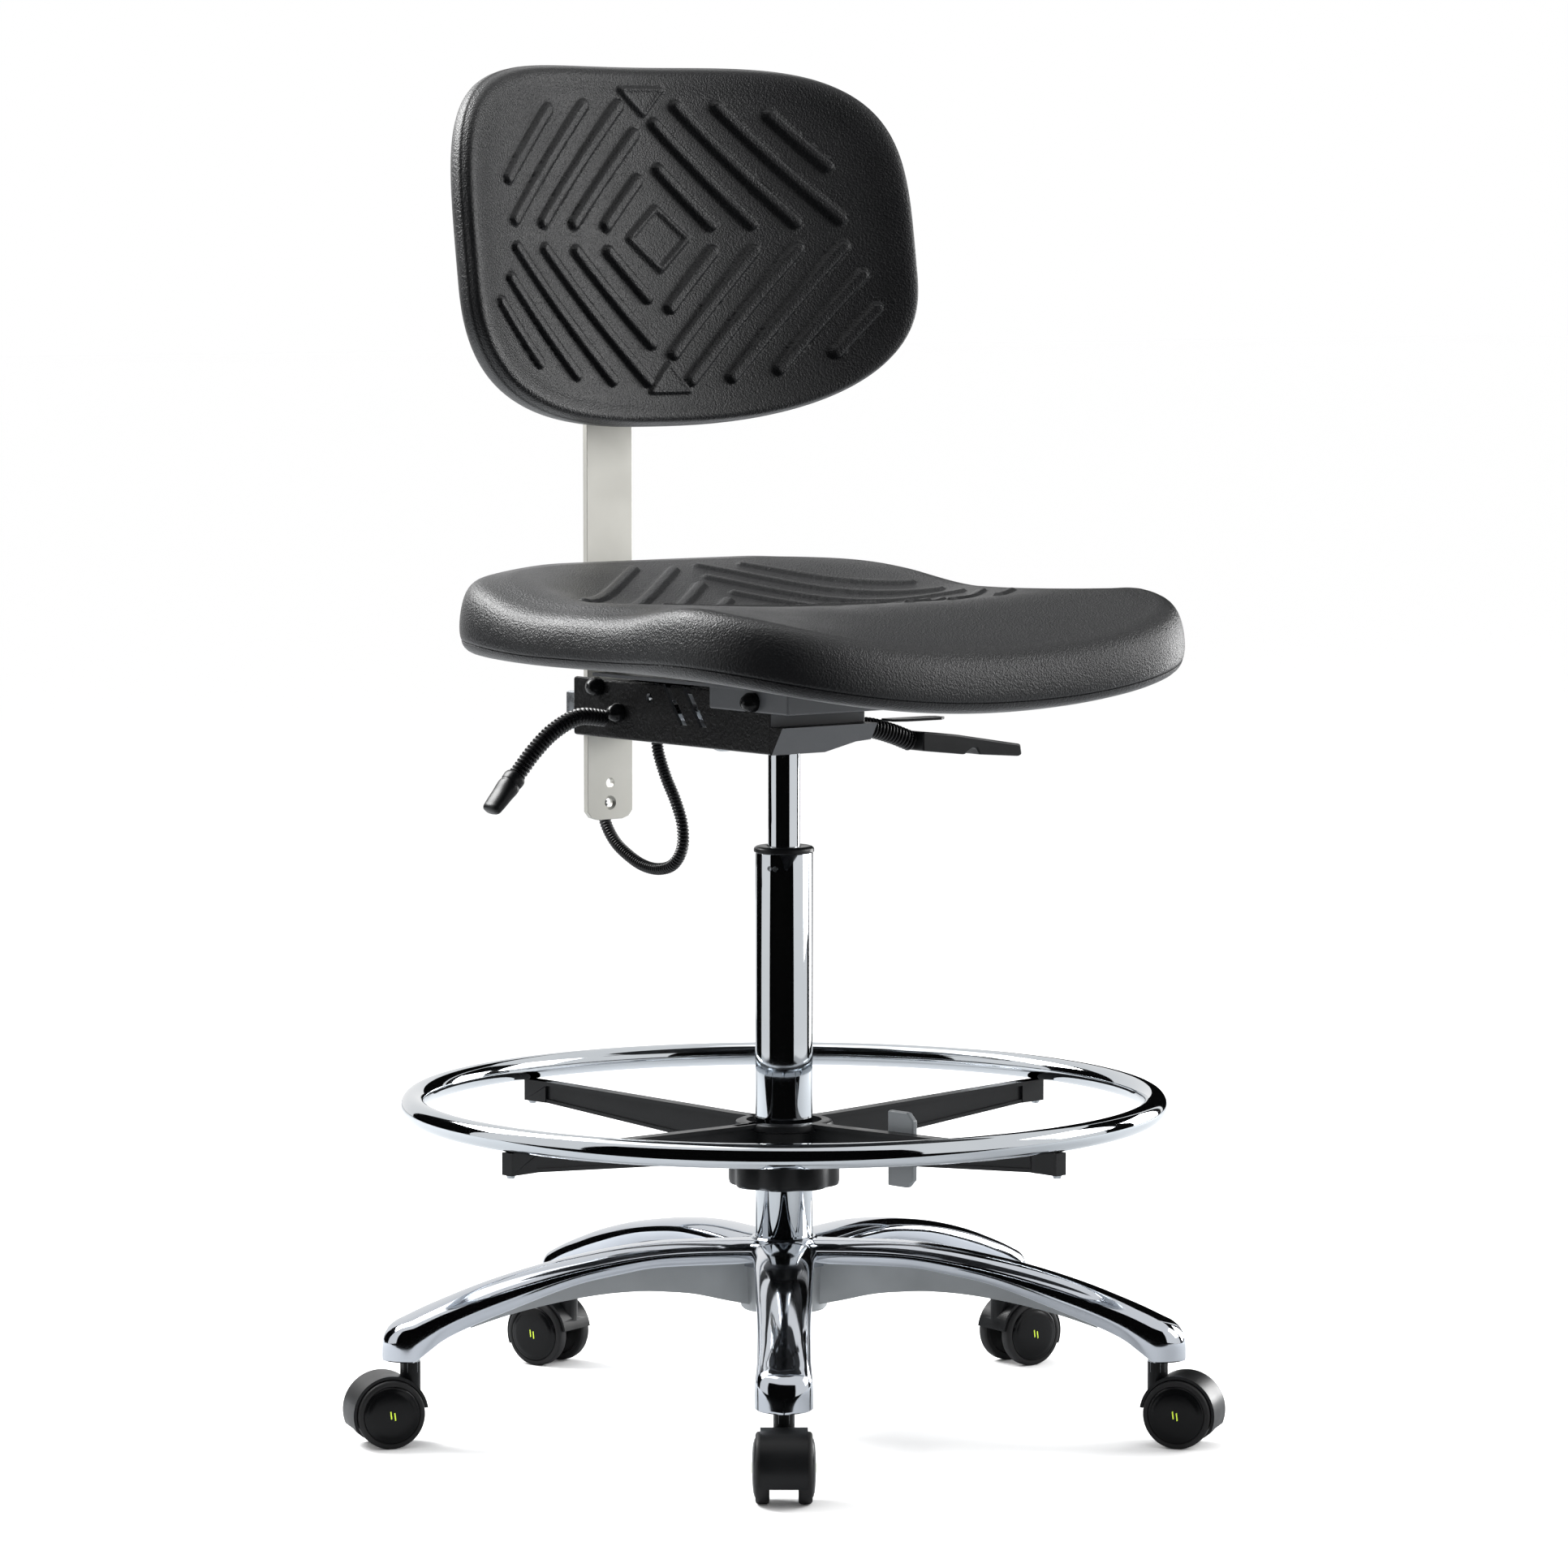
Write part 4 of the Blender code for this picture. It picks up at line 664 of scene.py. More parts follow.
def rings_along(path: Points, ring: float, wire: float, pitch: float, finish: Finish) -> Shape:
    """Round rings along a path, as a close-wound spring shows them.

    Args:
        path: Points in the chair's frame.
        ring: Radius of a ring's middle line.
        wire: Radius of its wire.
        pitch: From ring to ring.
        finish: Their finish.

    Returns:
        All the rings as one shape.
    """
    mesh = bpy.data.meshes.new("path")
    mesh.from_pydata(path.tolist(), [(i, i + 1) for i in range(len(path) - 1)], [])
    piece = bpy.data.objects.new("rings", mesh)
    bpy.context.scene.collection.objects.link(piece)
    change = piece.modifiers.new("Rings", "NODES")
    change.node_group = ring_tree()
    values = {"Ring radius": ring, "Wire radius": wire, "Pitch": pitch, "Finish": finish.material()}
    for item in change.node_group.interface.items_tree:
        if item.in_out == "INPUT" and item.name in values:
            change[item.identifier] = values[item.name]
    apply_modifiers(piece)
    points = np.array([v.co for v in piece.data.vertices], float)
    shape = Shape(points, [tuple(p.vertices) for p in piece.data.polygons])
    bpy.data.objects.remove(piece)
    return shape


# --- studio -------------------------------------------------------------------------------------
@dataclass
class Studio:
    """Camera, lights and floor.

    Attributes:
        azimuth: The camera's place round the column, in degrees.
        distance: From the column, level.
        height: The camera's height.
        pitch: How far it looks down, in radians.
        lens: Focal length in millimetres on a 36 mm sensor.
        floor_half: Half the floor's width.
        aim: Height that the lights point at.
        card_distance: From the column to the tall black cards.
    """

    azimuth: float = -38.0
    distance: float = 5.4003
    height: float = 1.035
    pitch: float = 0.0882
    lens: float = 143.94
    floor_half: float = 40.0
    aim: float = 0.6
    card_distance: float = 3.0

    def camera(self) -> None:
        """Puts the camera in its place."""
        angle = math.radians(self.azimuth)
        data = bpy.data.cameras.new("camera")
        data.sensor_width = 36.0
        data.lens = self.lens
        data.clip_end = 200.0
        made = bpy.data.objects.new("camera", data)
        bpy.context.scene.collection.objects.link(made)
        made.location = AXIS + Vector((self.distance * math.sin(angle), -self.distance * math.cos(angle),
                                       self.height))
        made.rotation_euler = (math.pi / 2 - self.pitch, 0.0, angle)
        bpy.context.scene.camera = made

    def beside(self, turn: float, distance: float, height: float) -> Vector:
        """A place round the column, by its turn from the camera's own direction."""
        angle = math.radians(self.azimuth + turn)
        return AXIS + Vector((distance * math.sin(angle), -distance * math.cos(angle), height))

    def softbox(self, name: str, turn: float, distance: float, height: float, size: tuple[float, float],
                power: float) -> None:
        """A rectangular light that faces the chair's middle.

        Args:
            name: Its name.
            turn: Its turn from the camera's direction, in degrees.
            distance: From the column, level.
            height: Height of its middle.
            size: Its width and height.
            power: In watts.
        """
        data = bpy.data.lights.new(name, "AREA")
        data.shape = "RECTANGLE"
        data.size, data.size_y = size
        data.energy = power
        made = bpy.data.objects.new(name, data)
        bpy.context.scene.collection.objects.link(made)
        made.location = self.beside(turn, distance, height)
        aim = AXIS + Vector((0.0, 0.0, self.aim)) - made.location
        made.rotation_euler = aim.to_track_quat("-Z", "Y").to_euler()

    def lights(self) -> None:
        """Softboxes to the left, to the right and behind, a top light and a pale room."""
        self.softbox("left_box", -118.0, 2.2, 2.4, (1.4, 1.6), 150.0)
        self.softbox("right_box", 100.0, 2.8, 1.6, (1.5, 1.6), 52.0)
        self.softbox("rim_box", 132.0, 2.7, 0.7, (1.0, 1.2), 34.0)
        self.softbox("top_box", -120.0, 0.9, 3.1, (2.0, 2.0), 20.0)
        bpy.context.scene.view_settings.view_transform = "Standard"
        world = bpy.data.worlds.new("pale_room")
        world.use_nodes = True
        tree = world.node_tree
        tree.nodes.clear()
        pale = add_node(tree, "ShaderNodeBackground", {"Color": linear("FFFFFF"), "Strength": 1.0})
        add_node(tree, "ShaderNodeOutputWorld", {"Surface": pale.outputs["Background"]})
        bpy.context.scene.world = world

    def tall_card(self, name: str, turn: float, width: float, high: float) -> None:
        """A tall black card, which draws a dark streak on bright metal."""
        near = -self.card_distance
        self.card(name, block((-width / 2, near - 0.01, 0.0), (width / 2, near, high)), turn)

    def card(self, name: str, shape: Shape, turn: float, colour: str = "050505") -> None:
        """A card that only reflections see, modelled in front of the chair and turned about the column.

        Args:
            name: Its name.
            shape: The card before the turn.
            turn: Turn from the camera's direction, in degrees.
            colour: Its colour, black where none is given.
        """
        made = raw_object(name, shape.moved(Matrix.Rotation(math.radians(self.azimuth + turn), 4, "Z")))
        made.data.materials.append(self.paper(name, colour, 0.5, 0.0))
        made.visible_camera = False
        made.visible_diffuse = False
        made.visible_shadow = False

    @staticmethod
    def paper(name: str, colour: str, roughness: float, specular: float) -> bpy.types.Material:
        """Matt paper of one colour.

        Args:
            name: The material's name.
            colour: Its colour.
            roughness: Its roughness.
            specular: Strength of its surface reflection.

        Returns:
            The material.
        """
        matt = bpy.data.materials.new(name)
        matt.use_nodes = True
        shader = matt.node_tree.nodes["Principled BSDF"]
        shader.inputs["Base Color"].default_value = linear(colour)
        shader.inputs["Roughness"].default_value = roughness
        shader.inputs["Specular IOR Level"].default_value = specular
        return matt

    def floor(self) -> None:
        """A wide pale floor."""
        half = self.floor_half
        made = raw_object("floor", block((-half, -half, -0.02), (half, half, 0.0)))
        made.data.materials.append(self.paper("pale_floor", "FFFFFF", 0.85, 0.1))

    def build(self) -> None:
        """Makes all of it."""
        self.camera()
        self.lights()
        self.floor()
        for name, turn, width, high in (("near_card", -10.0, 7.1, 4.4), ("left_card", -121.0, 2.1, 2.6),
                                        ("right_card", 127.0, 2.3, 2.6), ("edge_card", 163.0, 1.3, 2.6)):
            self.tall_card(name, turn, width, high)
        # Bright metal mirrors the floor. Left white it would melt into the white room behind it, so its
        # mirror image is grey, with a dark strip in front.
        self.card("floor_card", block((-3.4, -3.0, 0.003), (3.4, -0.62, 0.005)), -10.0)
        self.card("grey_floor_card", block((-4.0, -4.0, 0.001), (4.0, 4.0, 0.002)), 0.0, "B4B6B8")


# --- moulded cushions ---------------------------------------------------------------------------
@dataclass
class RibPattern:
    """Raised ribs in concentric diamonds round a middle, with gaps along both middle lines.

    Attributes:
        middle: Centre of the diamonds.
        first: From the middle to the first rib, square to it.
        pitch: From rib to rib.
        count: Ribs in each quarter.
        angle: Slope of a rib, in degrees.
        gap: Half the gap on each middle line.
        half_width: Reach of the pattern across.
        rise: Reach of the pattern upwards.
        drop: Reach of the pattern downwards.
        rib_width: Width of a rib.
        rib_height: Height of a rib.
        low_power: Squareness of the pattern's lower half.
        low_half: Reach of the lower half across.
    """

    middle: tuple[float, float]
    first: float
    pitch: float
    count: int
    angle: float
    gap: float
    half_width: float
    rise: float
    drop: float
    rib_width: float = 0.0105
    rib_height: float = 0.0030
    low_power: float = 2.4
    low_half: float = 0.205

    def inside(self, x: float, y: float) -> bool:
        """Whether a point is within the pattern's reach.

        Args:
            x: Place across.
            y: Place up.

        Returns:
            True inside it.
        """
        if y > 0:
            return (abs(x) / self.half_width) ** 4 + (y / self.rise) ** 4 < 1.0
        if abs(x) > self.low_half:
            return False
        return (abs(x) / (1.15 * self.low_half)) ** self.low_power + (-y / self.drop) ** self.low_power < 1.0

    def segments(self) -> list[tuple[Points, Points]]:
        """The two ends of each rib.

        Returns:
            A pair of points for each rib.
        """
        slope = math.radians(self.angle)
        reach, step, shortest = 0.30, 0.001, 16
        found = []
        for right in (-1, 1):
            for up in (-1, 1):
                normal = np.array([right * math.sin(slope), up * math.cos(slope)])
                along = np.array([right * math.cos(slope), -up * math.sin(slope)])
                for k in range(self.count):
                    base = np.array(self.middle) + normal * (self.first + k * self.pitch)
                    kept = []
                    for s in np.arange(-reach, reach, step):
                        x, y = base + along * s
                        clear = (x * right > self.gap and (y - self.middle[1]) * up > self.gap)
                        if clear and self.inside(x, y):
                            kept.append(s)
                    if len(kept) > shortest:
                        found.append((base + along * kept[0], base + along * kept[-1]))
        return found

    def height(self, x: Points, y: Points) -> Points:
        """Height of the ribs over the cushion, at many places at once.

        Args:
            x: Places across.
            y: Places up or along.

        Returns:
            The height at each place.
        """
        total = np.zeros_like(x)
        for start, end in self.segments():
            line = end - start
            share = np.clip(((x - start[0]) * line[0] + (y - start[1]) * line[1]) / (line @ line), 0, 1)
            away = np.hypot(x - start[0] - share * line[0], y - start[1] - share * line[1])
            crown = np.sqrt(np.clip(1 - (away / (self.rib_width / 2)) ** 2, 0.0, 1.0))
            total = np.maximum(total, self.rib_height * smooth_step(crown, 0.0, 0.95))
        return total


def frame_height(x: Points, y: Points, corners: Sequence[tuple[float, float]], width: float,
                 height: float, filled: bool) -> Points:
    """Height of a raised outline, or of a raised plateau.

    Args:
        x: Places across.
        y: Places along.
        corners: The outline's corners.
        width: Width of its ridge or of its slope.
        height: How far it stands up.
        filled: Whether the middle stands up too.

    Returns:
        The height at each place.
    """
    away = np.full(x.shape, 1.0)
    inside = np.zeros(x.shape, bool)
    for (ax, ay), (bx, by) in zip(corners, corners[1:] + corners[:1]):
        line = np.array([bx - ax, by - ay])
        share = np.clip(((x - ax) * line[0] + (y - ay) * line[1]) / (line @ line), 0, 1)
        away = np.minimum(away, np.hypot(x - ax - share * line[0], y - ay - share * line[1]))
        crosses = (ay > y) != (by > y)
        with np.errstate(divide="ignore", invalid="ignore"):
            inside ^= crosses & (x < (bx - ax) * (y - ay) / (by - ay) + ax)
    ridge = height * smooth_step(1 - away / (width / 2), 0.0, 0.9)
    if filled:
        return np.maximum(ridge, np.where(inside, height * 0.75, 0.0))
    return np.maximum(ridge, np.where(inside, height * 0.35, 0.0))


def squircle_grid(cells: int, power_top: float, power_low: float) -> tuple[Points, Points, list]:
    """A square grid drawn out to a rounded square of half width one.

    Args:
        cells: Cells on a side.
        power_top: Squareness of the upper half.
        power_low: Squareness of the lower half.

    Returns:
        Points (p, q), each one's share of the way out, and the indices of the rim in order.
    """
    line = np.linspace(-1.0, 1.0, cells + 1)
    u, v = np.meshgrid(line, line, indexing="xy")
    out = np.maximum(np.abs(u), np.abs(v))
    safe = np.where(out == 0, 1.0, out)
    du = np.where(out == 0, 1.0, u / safe)
    dv = np.where(out == 0, 1.0, v / safe)
    power = np.where(dv >= 0, power_top, power_low)
    reach = (np.abs(du) ** power + np.abs(dv) ** power) ** (-1 / power)
    flat = np.stack([u * reach, v * reach], axis=-1).reshape(-1, 2)
    size = cells + 1
    rim = [i for i in range(size)]
    rim += [r * size + cells for r in range(1, size)]
    rim += [cells * size + i for i in range(cells - 1, -1, -1)]
    rim += [r * size for r in range(cells - 1, 0, -1)]
    return flat, out.reshape(-1), rim


def grid_faces(cells: int) -> list[tuple[int, ...]]:
    """The quads of a square grid."""
    size = cells + 1
    return [(r * size + c, r * size + c + 1, (r + 1) * size + c + 1, (r + 1) * size + c)
            for r in range(cells) for c in range(cells)]


def pillow(cells: int, powers: tuple[float, float], face: Callable[[Points, Points], Points],
           roll: Sequence[tuple[float, float]], edge: Callable[[Points, float, float], Points]) -> Shape:
    """A cushion: a finely gridded face, then rings that roll over its rim and close underneath.

    Args:
        cells: Cells on a side of the face.
        powers: Squareness of the upper and lower half of the outline.
        face: Gives the face's points from (p, q) and the share of the way out.
        roll: For each ring past the face, its share of the way out and of the way down.
        edge: Gives a ring's points from the rim's (p, q), the share out and the share down.

    Returns:
        The shape.
    """
    flat, out, rim = squircle_grid(cells, *powers)
    share = roll[0][0]
    points = [face(flat * share, out * share)]
    faces = grid_faces(cells)
    before = rim
    count = len(flat)
    for scale, down in roll[1:]:
        ring = edge(flat[rim], scale, down)
        here = list(range(count, count + len(rim)))
        for i in range(len(rim)):
            j = (i + 1) % len(rim)
            faces.append((before[i], here[i], here[j], before[j]))
        points.append(ring)
        before = here
        count += len(rim)
    faces.append(tuple(before))
    return Shape(np.concatenate(points), faces)


@dataclass
class Backrest:
    """Moulded back: wraps forward at its sides, leans back, with a rolled rim and raised ribs.

    Attributes:
        half_width: Half its width.
        rise: From its middle to its upper edge.
        drop: From its middle to its lower edge.
        level: Height of its middle.
        front: From the column's axis back to its front face.
        slope: How far it leans back, in radians.
        wrap: How far its sides come forward.
        cells: Cells on a side of the face's grid.
        face_share: Share of the way out where the rolled rim starts.
        diamond: From its middle up to the centre of the ribs' diamonds.
    """

    half_width: float = 0.246
    rise: float = 0.193
    drop: float = 0.125
    level: float = 0.988
    front: float = 0.182
    slope: float = math.radians(8.0)
    wrap: float = 0.071
    cells: int = 230
    face_share: float = 0.90
    diamond: float = 0.039

    def pattern(self) -> RibPattern:
        """The ribs of the back."""
        return RibPattern(middle=(0.0045, self.diamond), first=0.0485, pitch=0.0285, count=6, angle=45.0,
                          gap=0.0115, half_width=0.182, rise=0.157, drop=0.087, rib_width=0.0122,
                          rib_height=0.0052)

    def place(self, x: Points, up: Points, depth: Points) -> Points:
        """Points in the chair's frame.

        Args:
            x: Places across the back.
            up: Places up its face.
            depth: How far each lies behind the face.

        Returns:
            The points.
        """
        y = depth - self.wrap * (x / self.half_width) ** 2
        c, s = math.cos(self.slope), math.sin(self.slope)
        return np.stack([x, self.front + y * c + up * s, self.level - y * s + up * c], axis=-1)

    def spread(self, flat: Points) -> tuple[Points, Points]:
        """Across and up from a place on the unit outline."""
        up = np.where(flat[:, 1] > 0, self.rise, self.drop) * flat[:, 1]
        return flat[:, 0] * self.half_width, up

    def depth(self, out: Points) -> Points:
        """Depth of the front face: flat, with a low bead round its rim."""
        return curve_through([(0.0, 0.0005), (0.55, 0.0005), (0.80, 0.0003), (0.86, -0.0004),
                              (0.905, -0.0016), (0.94, -0.0022), (0.965, -0.0014), (0.985, 0.0022),
                              (1.0, 0.0120)], out)

    def marks(self, x: Points, up: Points) -> Points:
        """Height of everything that stands up from the face: ribs, a diamond and two triangles.

        Args:
            x: Places across.
            up: Places up the face.

        Returns:
            The height at each place.
        """
        total = self.pattern().height(x, up)
        middle = self.diamond
        diamond = [(0.0049, middle + 0.027), (0.0355, middle), (0.0051, middle - 0.027), (-0.0265, middle)]
        total = np.maximum(total, frame_height(x, up, diamond, 0.010, 0.0034, False))
        upper = [(-0.024, 0.171), (0.021, 0.171), (0.0003, 0.149)]
        lower = [(-0.016, -0.096), (0.025, -0.096), (0.0053, -0.072)]
        for triangle in (upper, lower):
            total = np.maximum(total, frame_height(x, up, triangle, 0.007, 0.0034, True))
        return total

    def build(self) -> None:
        """Makes the back."""

        def face(flat: Points, out: Points) -> Points:
            """The face's points, from places on the unit outline and their share of the way out."""
            x, up = self.spread(flat)
            return self.place(x, up, self.depth(out) - self.marks(x, up))

        def edge(rim: Points, scale: float, down: float) -> Points:
            """A ring of the rolled rim or of the rear, at one scale and one depth."""
            x, up = self.spread(rim * scale)
            return self.place(x, up, np.full(len(x), down))

        roll = [(self.face_share, 0.0)]
        near_rim = (0.915, 0.93, 0.945, 0.957, 0.967, 0.976, 0.984, 0.990, 0.9945, 0.9975)
        roll += [(share, float(self.depth(share))) for share in near_rim]
        roll += [(1.0, 0.0110), (1.0005, 0.0150), (0.9995, 0.0190), (0.9965, 0.0228), (0.991, 0.0260),
                 (0.982, 0.0290), (0.966, 0.0318), (0.940, 0.0342),
                 (0.88, 0.0365), (0.80, 0.0390), (0.68, 0.0408), (0.55, 0.0418), (0.40, 0.0420),
                 (0.22, 0.0420), (0.08, 0.0420)]
        shape = pillow(self.cells, (4.0, 2.65), face, roll, edge)
        made = raw_object("back_cushion", shape)
        dress(made, FOAM_SKIN, "back", ("backrest_cushion",), 60.0)


@dataclass
class Seat:
    """Moulded seat: a dished rear, a waist on each side and a front that rolls down.

    Attributes:
        half_width: Half its width.
        half_depth: Half its depth.
        rear: From the column's axis back to its rear edge.
        under: Height of its flat underside.
        crest: Height of its rim at the waist.
        waist: How far the waist is drawn in.
        waist_at: Place of the waist, front to rear.
        edge: From the underside up to the lower edge.
        front_drop: How far the lower edge comes down at the front.
        roll_start: From the column's axis forward to where the front starts to roll.
        roll_length: From there to the end of the roll.
        roll_depth: How far the front has come down by then.
        cells: Cells on a side of the face's grid.
        face_share: Share of the way out where the rolled rim starts.
    """

    half_width: float = 0.262
    half_depth: float = 0.258
    rear: float = 0.207
    under: float = 0.6503
    crest: float = 0.7270
    waist: float = 0.010
    waist_at: float = -0.090
    edge: float = 0.0145
    front_drop: float = 0.0278
    roll_start: float = 0.100
    roll_length: float = 0.205
    roll_depth: float = 0.046
    cells: int = 250
    face_share: float = 0.93

    def centre(self) -> float:
        """Middle of the seat, front to rear."""
        return self.rear - self.half_depth

    def pattern(self) -> RibPattern:
        """The ribs of the seat."""
        return RibPattern(middle=(0.010, -0.035), first=0.030, pitch=0.0300, count=6, angle=40.0, gap=0.010,
                          half_width=0.185, rise=0.150, drop=0.140, rib_height=0.0026, low_power=3.0,
                          low_half=0.180)

    def spread(self, flat: Points) -> tuple[Points, Points]:
        """Across and along from a place on the unit outline, with the waist drawn in.

        Args:
            flat: Places on the unit outline.

        Returns:
            Places across and places along.
        """
        y = flat[:, 1] * self.half_depth + self.centre()
        pull = self.waist * np.exp(-((y - self.waist_at) / 0.085) ** 2)
        return flat[:, 0] * (self.half_width - pull), y

    def rim_height(self, x: Points, y: Points) -> Points:
        """Height of the seat's raised rim."""
        lift = 0.017 * smooth_step(y, 0.0, 0.16) + 0.005 * smooth_step(-y, 0.10, 0.20)
        return self.crest + lift - self.fall(x, y)

    def fall(self, x: Points, y: Points) -> Points:
        """How far the front has rolled down."""
        share = np.clip((-y - self.roll_start) / self.roll_length, 0.0, 1.2)
        return self.roll_depth * share ** 1.7 * (1 - 0.78 * (x / self.half_width) ** 2)

    def bottom_height(self, x: Points, y: Points) -> Points:
        """Height of the lower edge.

        Args:
            x: Places across on the rim.
            y: Places along on the rim.

        Returns:
            The height at each place.
        """
        front = smooth_step(-y, 0.12, 0.29)
        across = (x / self.half_width) ** 2
        drop = self.front_drop * front * (1 - 0.95 * across)
        return self.under + self.edge + 0.004 * across + 0.003 * smooth_step(y, 0.0, 0.18) - drop

    def top_height(self, x: Points, y: Points, out: Points) -> Points:
        """Height of the sitting surface.

        Args:
            x: Places across.
            y: Places along.
            out: Each place's share of the way out.

        Returns:
            The height at each place.
        """
        rear = 1 - smooth_step(-y, -0.02, 0.18)
        bowl = (0.004 + 0.022 * rear) * np.clip(1 - (out / 0.86) ** 2.2, 0.0, 1.0)
        side = smooth_step(np.abs(x), 0.10, 0.22) * (1 - 0.45 * smooth_step(y, 0.04, 0.17))
        slope = 0.014 * smooth_step(out, 0.76, 0.98) * side * (1 - smooth_step(-y, 0.06, 0.20))
        return self.rim_height(x, y) - bowl - slope

    def build(self) -> None:
        """Makes the seat."""

        def face(flat: Points, out: Points) -> Points:
            """The face's points, from places on the unit outline and their share of the way out."""
            x, y = self.spread(flat)
            ribs = self.pattern().height(x, y)
            return np.stack([x, y, self.top_height(x, y, out) + ribs], axis=-1)

        def edge(rim: Points, scale: float, down: float) -> Points:
            """A ring of the side or of the underside, at one scale and one share of the way down."""
            x, y = self.spread(rim * scale)
            rim_x, rim_y = self.spread(rim)
            if scale < 0.9 and down >= 1.0:
                flat_under = np.full(len(x), self.under)
                lift = (self.bottom_height(rim_x, rim_y) - self.under) * smooth_step(scale, 0.30, 0.80)
                return np.stack([x, y, flat_under + lift], axis=-1)
            high = self.top_height(x, y, np.full(len(x), min(scale, 0.98)))
            low = self.bottom_height(rim_x, rim_y)
            return np.stack([x, y, high - down * (high - low)], axis=-1)

        roll = [(self.face_share, 0.0), (0.940, 0.006), (0.950, 0.020), (0.9595, 0.045), (0.968, 0.080),
                (0.9755, 0.125), (0.982, 0.180), (0.9875, 0.245), (0.992, 0.320), (0.9955, 0.400),
                (0.998, 0.480), (0.9995, 0.560), (1.000, 0.630), (0.9995, 0.690), (0.998, 0.745),
                (0.9955, 0.785), (0.9925, 0.792), (0.9920, 0.800), (0.9945, 0.808), (0.992, 0.850),
                (0.986, 0.895),
                (0.977, 0.935), (0.965, 0.965), (0.950, 0.985), (0.930, 1.0), (0.895, 1.0), (0.86, 1.0),
                (0.78, 1.0), (0.68, 1.0), (0.55, 1.0), (0.38, 1.0), (0.20, 1.0), (0.07, 1.0)]
        shape = pillow(self.cells, (4.2, 4.2), face, roll, edge)
        made = raw_object("seat_shell", shape)
        dress(made, FOAM_SKIN, "seat", ("seat_cushion",), 60.0)


# --- column -------------------------------------------------------------------------------------
@dataclass
class Column:
    """Outer tube, its cap and the gas cylinder.

    Attributes:
        tube_radius: Radius of the outer tube.
        tube_low: Height of its lower end.
        tube_high: Height of its upper end.
        wall: Its wall.
        cylinder_radius: Radius of the gas cylinder.
        cylinder_low: Height of its lower end.
        cylinder_high: Height of its upper end.
        crimps: The crimps' turns about the column, in degrees.
    """

    tube_radius: float = 0.0250
    tube_low: float = 0.1020
    tube_high: float = 0.4985
    wall: float = 0.0015
    cylinder_radius: float = 0.0140
    cylinder_low: float = 0.2550
    cylinder_high: float = 0.6400
    crimps: tuple[float, ...] = (-158.0, -146.0)

    def build(self) -> None:
        """Makes the column's visible pieces."""
        r, w = self.tube_radius, self.wall
        tube = [(r - w, self.tube_high), (r - 0.0006, self.tube_high), (r, self.tube_high - 0.0008),
                (r, self.tube_low + 0.0008), (r - 0.0006, self.tube_low), (r - w, self.tube_low),
                (r - w, self.tube_high)]
        dress(raw_object("column_sleeve", turned(tube, 128)), CHROME, "base", ("column_tube",))
        low, high = self.tube_high + 0.0003, self.tube_high + 0.0055
        bore = self.cylinder_radius + 0.0006
        cap = [(bore, high - 0.0004), (bore + 0.0006, high), (r - 0.0022, high), (r - 0.0006, high - 0.0005),
               (r + 0.0008, high - 0.0016), (r + 0.0012, high - 0.0026), (r + 0.0012, low + 0.0004),
               (r + 0.0008, low), (bore, low), (bore, high - 0.0004)]
        dress(raw_object("column_cap_ring", turned(cap, 96)), NYLON, "base", ("column_cap",))
        c = self.cylinder_radius
        gas = [(0.0, self.cylinder_high), (c - 0.001, self.cylinder_high), (c, self.cylinder_high - 0.004),
               (c, self.cylinder_low + 0.001), (c - 0.001, self.cylinder_low), (0.0052, self.cylinder_low),
               (0.0052, self.cylinder_low + 0.004), (0.0, self.cylinder_low + 0.004)]
        dress(raw_object("gas_cylinder_body", turned(gas, 96)), CHROME, "seat_frame", ("gas_cylinder",))
        self.dimples()

    def dimples(self) -> None:
        """Two crimps that hold the guide bushing, just under the cap."""
        marks = []
        for degrees in self.crimps:
            angle = math.radians(degrees)
            out = Vector((math.cos(angle), math.sin(angle), 0.0))
            centre = out * self.tube_radius + Vector((0, 0, self.tube_high - 0.0125))
            turn = out.to_track_quat("Z", "Y").to_matrix().to_4x4()
            cup = [(0.0, 0.00012), (0.0012, 0.00012), (0.0019, 0.00030), (0.0022, 0.00022),
                   (0.0024, -0.0004), (0.0, -0.0004)]
            marks.append(turned(cup, 20).moved(Matrix.Translation(centre) @ turn))
        dress(raw_object("column_crimps", join_all(marks)), ZINC, "base")


